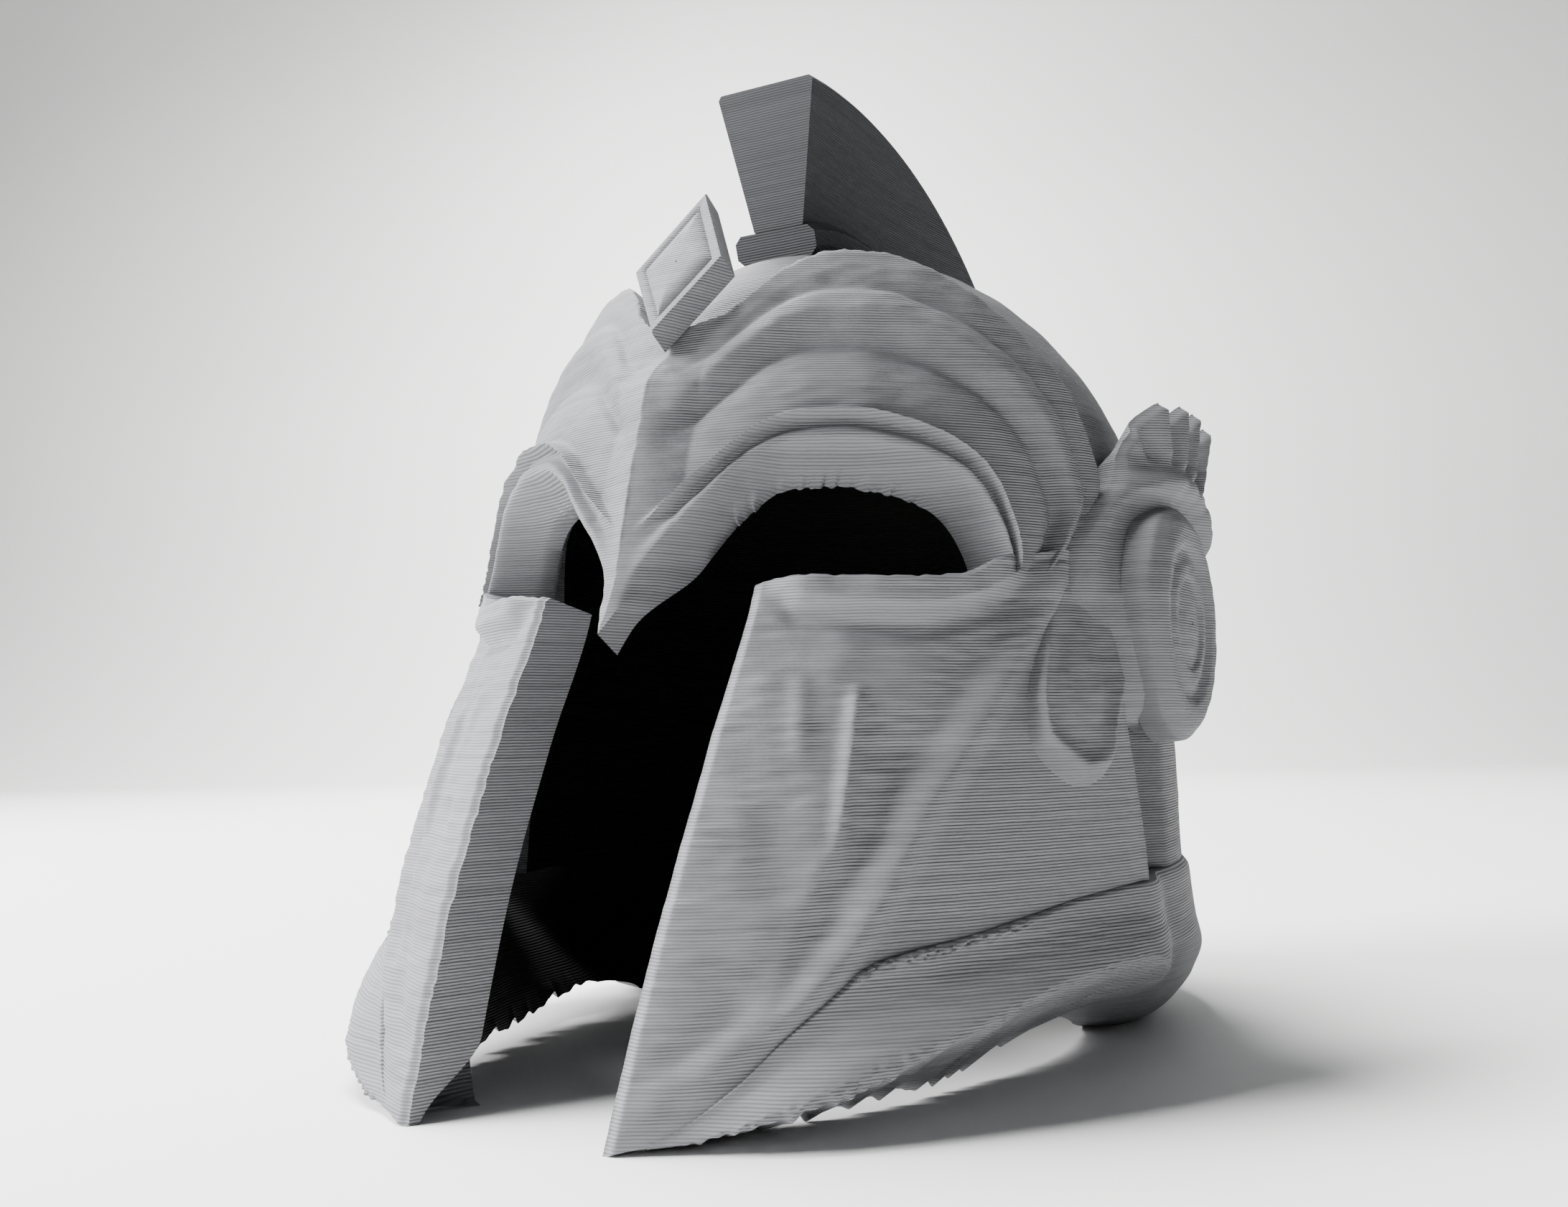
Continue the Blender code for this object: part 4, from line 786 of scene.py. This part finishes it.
profile_knots = np.linspace(0.0, 1.0, len(ROUNDEL_PROFILE))
ring_reach = ROUNDEL_RADIUS * smooth_curve(ring_way, profile_knots, column(ROUNDEL_PROFILE, "reach"))
ring_rise = smooth_curve(ring_way, profile_knots, column(ROUNDEL_PROFILE, "rise"))
ring_turn = np.radians(np.linspace(0.0, 360.0, 121)[:-1])
# Roundels: a per-piece grey of the one plastic, its difference from the others painted light and shade.
ROUNDEL_GREY = (0.165, 0.167, 0.178)
roundel_finish = layered_grey("roundel_grey", ROUNDEL_GREY, line_depth=0.045, drift_depth=0.05)
for side, name in ((1.0, "left"), (-1.0, "right")):
    across = ring_reach[:, None] * np.cos(ring_turn)
    up = ring_reach[:, None] * np.sin(ring_turn)
    depth, height = ROUNDEL_DEPTH + across, ROUNDEL_HEIGHT + up
    out = ROUNDEL_SEAT + ring_rise[:, None] + 0.04 * waver(across, up * 2.5, 71)
    outer = np.stack([side * out, depth, height], axis=-1)
    root = np.full_like(out, ROUNDEL_SEAT - ROUNDEL_ROOT)
    inner = np.stack([side * root, depth, height], axis=-1)
    shell_piece("roundel_" + name, "ear_roundel_" + name, outer, inner, roundel_finish, ring=True)

# Wings: the boss round each roundel, an arc over it and the row of feathers above, and the lobe that hangs
# forward on the cheek. They are grey plastic, printed in one with the side of the helmet.
WING_FACE = 30.5
HUB_SHARE = 0.82
ARC_RADIUS = 10.9
ARC_RELIEF = 1.15
ARC_GROOVE = 0.35
QUILL_FIRST = 57.0
QUILL_SPACING = 11.0
QUILL_RELIEF = 0.45
LOBE_RELIEF = 1.55
LOBE_RIM = 0.40
LOBE_HOLLOW = 0.25
LOBE_VEIN = 0.12
LOBE_SINK = 0.7
WING_OUTLINE = (
    {"angle": -25, "back": 0.98, "up": -0.5, "root_back": 0.98, "root_up": -0.5, "out": 28.0},
    {"angle": 0, "back": 1.14, "up": 0.0, "root_back": 1.16, "root_up": 0.0, "out": 28.4},
    {"angle": 24, "back": 1.28, "up": 0.58, "root_back": 1.2, "root_up": 0.56, "out": 28.8},
    {"angle": 40, "back": 1.46, "up": 1.18, "root_back": 1.26, "root_up": 0.98, "out": 29.4},
    {"angle": 50, "back": 1.54, "up": 1.74, "root_back": 1.24, "root_up": 1.28, "out": 30.0},
    {"angle": 57, "back": 1.46, "up": 2.12, "root_back": 1.1, "root_up": 1.48, "out": 30.4},
    {"angle": 62, "back": 1.2, "up": 1.96, "root_back": 0.94, "root_up": 1.5, "out": 30.0},
    {"angle": 68, "back": 1.0, "up": 2.2, "root_back": 0.74, "root_up": 1.55, "out": 30.4},
    {"angle": 73, "back": 0.76, "up": 1.98, "root_back": 0.6, "root_up": 1.55, "out": 30.0},
    {"angle": 79, "back": 0.56, "up": 2.2, "root_back": 0.42, "root_up": 1.55, "out": 30.3},
    {"angle": 84, "back": 0.3, "up": 2.0, "root_back": 0.28, "root_up": 1.55, "out": 29.6},
    {"angle": 90, "back": 0.1, "up": 2.16, "root_back": 0.1, "root_up": 1.54, "out": 29.6},
    {"angle": 96, "back": -0.14, "up": 1.94, "root_back": -0.12, "root_up": 1.5, "out": 28.6},
    {"angle": 104, "back": -0.32, "up": 1.72, "root_back": -0.34, "root_up": 1.44, "out": 28.0},
    {"angle": 118, "back": -0.54, "up": 1.4, "root_back": -0.58, "root_up": 1.28, "out": 27.4},
    {"angle": 135, "back": -0.98, "up": 1.05, "root_back": -0.9, "root_up": 0.96, "out": 26.4},
    {"angle": 152, "back": -1.38, "up": 0.6, "root_back": -1.2, "root_up": 0.52, "out": 25.6},
    {"angle": 170, "back": -1.55, "up": 0.06, "root_back": -1.3, "root_up": 0.04, "out": 26.0},
    {"angle": 195, "back": -1.5, "up": -0.5, "root_back": -1.26, "root_up": -0.42, "out": 27.2},
    {"angle": 225, "back": -1.02, "up": -0.9, "root_back": -0.92, "root_up": -0.8, "out": 28.4},
    {"angle": 252, "back": -0.27, "up": -0.98, "root_back": -0.27, "root_up": -0.98, "out": 28.2},
    {"angle": 275, "back": 0.08, "up": -1.02, "root_back": 0.08, "root_up": -1.02, "out": 28.0},
    {"angle": 305, "back": 0.58, "up": -0.86, "root_back": 0.58, "root_up": -0.86, "out": 28.0},
    {"angle": 335, "back": 0.98, "up": -0.5, "root_back": 0.98, "root_up": -0.5, "out": 28.0},
    {"angle": 360, "back": 1.14, "up": 0.0, "root_back": 1.16, "root_up": 0.0, "out": 28.4},
)
LOBE_OUTLINE = (
    {"turn": 0, "around": 69.5, "height": 27.0},
    {"turn": 40, "around": 70.0, "height": 32.5},
    {"turn": 75, "around": 68.0, "height": 37.0},
    {"turn": 110, "around": 62.0, "height": 36.4},
    {"turn": 145, "around": 55.8, "height": 30.6},
    {"turn": 175, "around": 53.7, "height": 25.2},
    {"turn": 205, "around": 54.0, "height": 22.6},
    {"turn": 230, "around": 56.6, "height": 20.4},
    {"turn": 262, "around": 60.6, "height": 19.2},
    {"turn": 292, "around": 64.0, "height": 19.8},
    {"turn": 325, "around": 66.0, "height": 22.4},
    {"turn": 360, "around": 69.5, "height": 27.0},
)
LOBE_MIDDLE = (60.0, 26.0)


def skin_width(section, depth, height, lift):
    """Half width of a section at a depth, with the skin moved out by lift."""
    half_width, front, back = section(height)
    reach = np.where(depth < EAR_DEPTH, EAR_DEPTH - front, back - EAR_DEPTH) + lift
    power = np.where(depth < EAR_DEPTH, FRONT_POWER, BACK_POWER)
    share = np.clip(np.abs(depth - EAR_DEPTH) / reach, 0.0, 1.0)
    return (half_width + lift) * (1.0 - share**power) ** (1.0 / power)


wing_angle = np.linspace(0.0, 360.0, 261)[:-1]
wing_turn = np.radians(wing_angle)
wing_hub = HUB_SHARE * ROUNDEL_RADIUS * np.stack([np.cos(wing_turn), np.sin(wing_turn)], axis=-1)


def wing_grid(kind):
    """Depth and height of the wing's rings, from the roundel's edge out to its outline."""
    back = ROUNDEL_RADIUS * read_table(WING_OUTLINE, "angle", kind + "back", wing_angle)
    up = ROUNDEL_RADIUS * read_table(WING_OUTLINE, "angle", kind + "up", wing_angle)
    end = np.stack([back, up], axis=-1)
    way = np.concatenate([np.linspace(0.0, 0.94, 44), [0.965, 0.985, 1.0]])[:, None, None]
    ring = wing_hub + way * (end - wing_hub)
    return ROUNDEL_DEPTH + ring[..., 0], ROUNDEL_HEIGHT + ring[..., 1], way[..., 0]


depth, height, way = wing_grid("")
from_hub = np.hypot(depth - ROUNDEL_DEPTH, height - ROUNDEL_HEIGHT)
end_out = read_table(WING_OUTLINE, "angle", "out", wing_angle)
face = WING_FACE + smooth_step(0.0, 1.0, way) * (end_out - WING_FACE)
upper = smooth_step(18.0, 40.0, wing_angle) * fade_out(150.0, 172.0, wing_angle)
arc = ARC_RELIEF * upper * bump_line(from_hub, ARC_RADIUS, 0.95)
arc = arc - ARC_GROOVE * upper * bump_line(from_hub, 9.0, 0.5)
feathers = smooth_step(12.2, 13.4, from_hub) * smooth_step(44.0, 52.0, wing_angle)
feathers = feathers * fade_out(96.0, 104.0, wing_angle)
quill_turn = np.radians((wing_angle - QUILL_FIRST) * 360.0 / QUILL_SPACING)
quill = QUILL_RELIEF * feathers * np.cos(quill_turn)
edge_round = -0.8 * smooth_step(0.93, 1.0, way)
wing_out = face + arc + quill + edge_round + 0.05 * waver(depth / 2.0, height / 0.5, 81)
wing_outer = np.stack([wing_out, depth, height], axis=-1)
depth, height, way = wing_grid("root_")
root = np.minimum(skin_width(skull_section, depth, height, -0.6), wing_out - 0.5)
wing_inner = np.stack([root, depth, height], axis=-1)
# Wings: a per-piece grey of the one plastic, its difference from the others painted light and shade.
WING_GREY = (0.185, 0.187, 0.199)
wing_finish = layered_grey("wing_grey", WING_GREY, line_depth=0.045, drift_depth=0.06)
lobe_turn = np.linspace(0.0, 360.0, 161)[:-1]
lobe_way = np.linspace(0.002, 1.0, 56)[:, None]
lobe_around = read_table(LOBE_OUTLINE, "turn", "around", lobe_turn)
lobe_height = read_table(LOBE_OUTLINE, "turn", "height", lobe_turn)
around = LOBE_MIDDLE[0] + lobe_way * (lobe_around - LOBE_MIDDLE[0])
height = LOBE_MIDDLE[1] + lobe_way * (lobe_height - LOBE_MIDDLE[1])
rise = fade_out(25.0, 35.0, height)
edge_rise = smooth_step(0.0, 0.30, 1.0 - lobe_way)
rim = LOBE_RIM * bump_line(lobe_way, 0.76, 0.12) * fade_out(23.0, 29.0, height)
hollow = -LOBE_HOLLOW * bump_line(lobe_way, 0.50, 0.18)
veins = LOBE_VEIN * np.cos((around - 54.0) * 1.3 + (height - 20.0) * 0.25)
lobe = LOBE_RELIEF * edge_rise + rim + hollow + veins * edge_rise
lift = -0.35 + lobe * (0.30 + 0.70 * rise)
lift = lift + 0.05 * waver(around / 2.0, height / 0.4, 91)
lobe_outer = lifted(face_section, around, height, lift)
lobe_inner = lifted(face_section, around, height, -LOBE_SINK)
for side, name in ((1.0, "left"), (-1.0, "right")):
    mirror = np.array([side, 1.0, 1.0])
    wing = "wing_" + name
    shell_piece(wing + "_feathers", wing, wing_outer * mirror, wing_inner * mirror, wing_finish, ring=True)
    shell_piece(wing + "_lobe", None, lobe_outer * mirror, lobe_inner * mirror, wing_finish, ring=True)

# Crest and its rail: a flat bar bent over the crown from front to back, with the smooth fan standing on it,
# both of a darker grey plastic and sunk a little into what they stand on. The fan is wider at its outer
# edge, and its front end leans forward.
RAIL_WIDTH = 7.5
RAIL_THICKNESS = 2.0
RAIL_EDGE = 0.6
RAIL_SINK = 0.5
SEAT_GAP = 0.3
RAIL_START, RAIL_END = -0.188, 0.74
CREST_START, CREST_END = -0.168, 0.72
CREST_ARC_RADIUS = 49.5
CREST_ARC_DEPTH = 42.0
CREST_ARC_HEIGHT = 28.1
CREST_ARC_FROM, CREST_ARC_TO = 97.2, 16.0
CREST_TOP_WIDTH = 9.1
CREST_FOOT_WIDTH = 4.5
CREST_EDGE = 0.35
CREST_SINK = 0.2


def crown_line(share, lift):
    """Point over the middle of the dome: -1 at the front spring line, 0 at the crown, 1 at the back one."""
    rise = np.clip(1.0 - np.abs(share), 1e-4, 1.0 - 1e-4)
    height = SPRING_HEIGHT + (SKULL_HEIGHT - SPRING_HEIGHT) * np.sin(rise * math.pi / 2)
    _, front, back = skull_section(height)
    line = np.stack([np.where(share < 0.0, front, back), height], axis=-1)
    along = np.gradient(line, axis=0)
    normal = np.stack([-along[:, 1], along[:, 0]], axis=-1)
    return line + lift * normal / np.linalg.norm(normal, axis=-1, keepdims=True)


def swept_bar(name, node, foot, head, foot_half, head_half, edge, finish):
    """Bar with rounded edges between a foot line and a head line, closed at both ends."""
    across = np.array([-1.0, -1.0, -1.0, 1.0, 1.0, 1.0])
    rings = []
    for low, top in zip(foot, head):
        tall = np.linalg.norm(top - low)
        share = np.array([0.0, edge / tall, 1.0 - edge / tall, 1.0])
        half = foot_half + share * (head_half - foot_half)
        in_foot, in_head = half[0] - edge, half[3] - edge
        x = [-in_foot, -half[1], -half[2], -in_head, in_head, half[2], half[1], in_foot]
        at = [share[0], share[1], share[2], share[3], share[3], share[2], share[1], share[0]]
        rings.append([[a, *(low + b * (top - low))] for a, b in zip(x, at)])
    rings = np.array(rings)
    count, corners = rings.shape[:2]
    place = np.arange(count * corners).reshape(count, corners)
    wrap = np.concatenate([place, place[:, :1]], axis=1)
    quads = np.stack([wrap[:-1, :-1], wrap[:-1, 1:], wrap[1:, 1:], wrap[1:, :-1]], axis=-1)
    first, last = place[0], place[-1]
    ends = []
    for a, b in ((0, 7), (1, 6), (2, 5)):
        ends.append([first[a], first[b], first[b - 1], first[a + 1]])
        ends.append([last[a + 1], last[b - 1], last[b], last[a]])
    faces = np.concatenate([quads.reshape(-1, 4), np.array(ends)])
    return put_piece(name, node, rings.reshape(-1, 3), faces, finish, sharp=35.0)


CREST_GREY = (0.034, 0.035, 0.039)
crest_finish = layered_grey("crest_grey", CREST_GREY, line_depth=0.04, drift_depth=0.03)
rail_share = np.linspace(RAIL_START, RAIL_END, 90)
rail_foot = crown_line(rail_share, SEAT_GAP - RAIL_SINK)
rail_head = crown_line(rail_share, SEAT_GAP + RAIL_THICKNESS)
rail_half = RAIL_WIDTH / 2
swept_bar("rail", "crest_rail", rail_foot, rail_head, rail_half, rail_half, RAIL_EDGE, crest_finish)
crest_share = np.linspace(CREST_START, CREST_END, 90)
crest_foot = crown_line(crest_share, SEAT_GAP + RAIL_THICKNESS - CREST_SINK)
crest_arc = np.radians(np.linspace(CREST_ARC_FROM, CREST_ARC_TO, 90))
crest_head = np.stack([
    CREST_ARC_DEPTH + CREST_ARC_RADIUS * np.cos(crest_arc),
    CREST_ARC_HEIGHT + CREST_ARC_RADIUS * np.sin(crest_arc),
], axis=-1)
foot_half, top_half = CREST_FOOT_WIDTH / 2, CREST_TOP_WIDTH / 2
swept_bar("crest_fan", "crest", crest_foot, crest_head, foot_half, top_half, CREST_EDGE, crest_finish)

# Floor and light: a pale sweep that curves up behind. A low window gives soft light from the front left, a
# lamp above and a little behind the helmet's left in the picture fills in, and a weak one lights the
# backdrop.
SWEEP_BACK = 0.62
SWEEP_RADIUS = 0.22
SWEEP_WIDTH = 1.7
SWEEP_TURN = 29.0
SWEEP_FRONT = -0.9
SWEEP_TOP = 1.4
sweep_turn = np.radians(np.linspace(0.0, 90.0, 25))
sweep_line = [(SWEEP_FRONT, 0.0)]
for turn in sweep_turn:
    run, climb = SWEEP_RADIUS * math.sin(turn), SWEEP_RADIUS * (1.0 - math.cos(turn))
    sweep_line.append((SWEEP_BACK + run, climb))
sweep_line.append((SWEEP_BACK + SWEEP_RADIUS, SWEEP_TOP))
sweep_points = [(x, y, z) for y, z in sweep_line for x in (-SWEEP_WIDTH, SWEEP_WIDTH)]
sweep_faces = [(2 * k, 2 * k + 1, 2 * k + 3, 2 * k + 2) for k in range(len(sweep_line) - 1)]
sweep_mesh = bpy.data.meshes.new("pale_sweep")
sweep_mesh.from_pydata(sweep_points, [], sweep_faces)
sweep_mesh.shade_smooth()
sweep = bpy.data.objects.new("pale_sweep", sweep_mesh)
bpy.context.scene.collection.objects.link(sweep)
sweep.rotation_euler = (0.0, 0.0, math.radians(SWEEP_TURN))
paper = bpy.data.materials.new("pale_paper")
paper.use_nodes = True
paper.node_tree.nodes["Principled BSDF"].inputs["Base Color"].default_value = (0.90, 0.90, 0.89, 1.0)
paper.node_tree.nodes["Principled BSDF"].inputs["Roughness"].default_value = 0.75
sweep_mesh.materials.append(paper)

LIGHTS = (
    {"name": "window", "place": (-0.42, -0.29, 0.32), "aim": (0, 0, 0.03), "size": 0.36, "power": 13.5},
    {"name": "overhead", "place": (-0.25, 0.14, 0.58), "aim": (0, 0, 0.03), "size": 0.34, "power": 12.0},
    {"name": "backdrop", "place": (-0.3, 0.42, 0.36), "aim": (-0.3, 0.8, 0), "size": 0.4, "power": 3.5},
)
for row in LIGHTS:
    lamp = bpy.data.lights.new(row["name"], "AREA")
    lamp.shape = "DISK"
    lamp.size = row["size"]
    lamp.energy = row["power"]
    light = bpy.data.objects.new(row["name"], lamp)
    bpy.context.scene.collection.objects.link(light)
    light.location = row["place"]
    way = Vector(row["aim"]) - light.location
    light.rotation_euler = way.to_track_quat("-Z", "Y").to_euler()
sky = bpy.data.worlds.new("studio")
sky.use_nodes = True
sky.node_tree.nodes["Background"].inputs["Color"].default_value = (0.95, 0.97, 1.0, 1.0)
sky.node_tree.nodes["Background"].inputs["Strength"].default_value = 0.13
bpy.context.scene.world = sky

# Camera: close to the print and a little below its middle, looking up slightly and turned to see its left
# side. The place is in the helmet's own millimetres, with depth for y.
CAMERA_PLACE = (59.5, -69.7, 24.0)
CAMERA_AZIMUTH = 29.0
CAMERA_PITCH = 4.75
CAMERA_ROLL = 1.0
FOCAL_SHARE = 2100.0 / 2184.0
lens = bpy.data.cameras.new("camera")
lens.sensor_width = 36.0
lens.lens = FOCAL_SHARE * lens.sensor_width
lens.clip_start = 0.005
camera = bpy.data.objects.new("camera", lens)
bpy.context.scene.collection.objects.link(camera)
azimuth, pitch = math.radians(CAMERA_AZIMUTH), math.radians(CAMERA_PITCH)
level_share = math.cos(pitch)
ahead = Vector((-math.sin(azimuth) * level_share, math.cos(azimuth) * level_share, math.sin(pitch)))
camera.rotation_mode = "QUATERNION"
level = ahead.to_track_quat("-Z", "Y")
camera.rotation_quaternion = level @ Quaternion((0.0, 0.0, 1.0), -math.radians(CAMERA_ROLL))
camera.location = (CAMERA_PLACE[0] * MM, (CAMERA_PLACE[1] - MIDDLE_DEPTH) * MM, CAMERA_PLACE[2] * MM)
bpy.context.scene.camera = camera
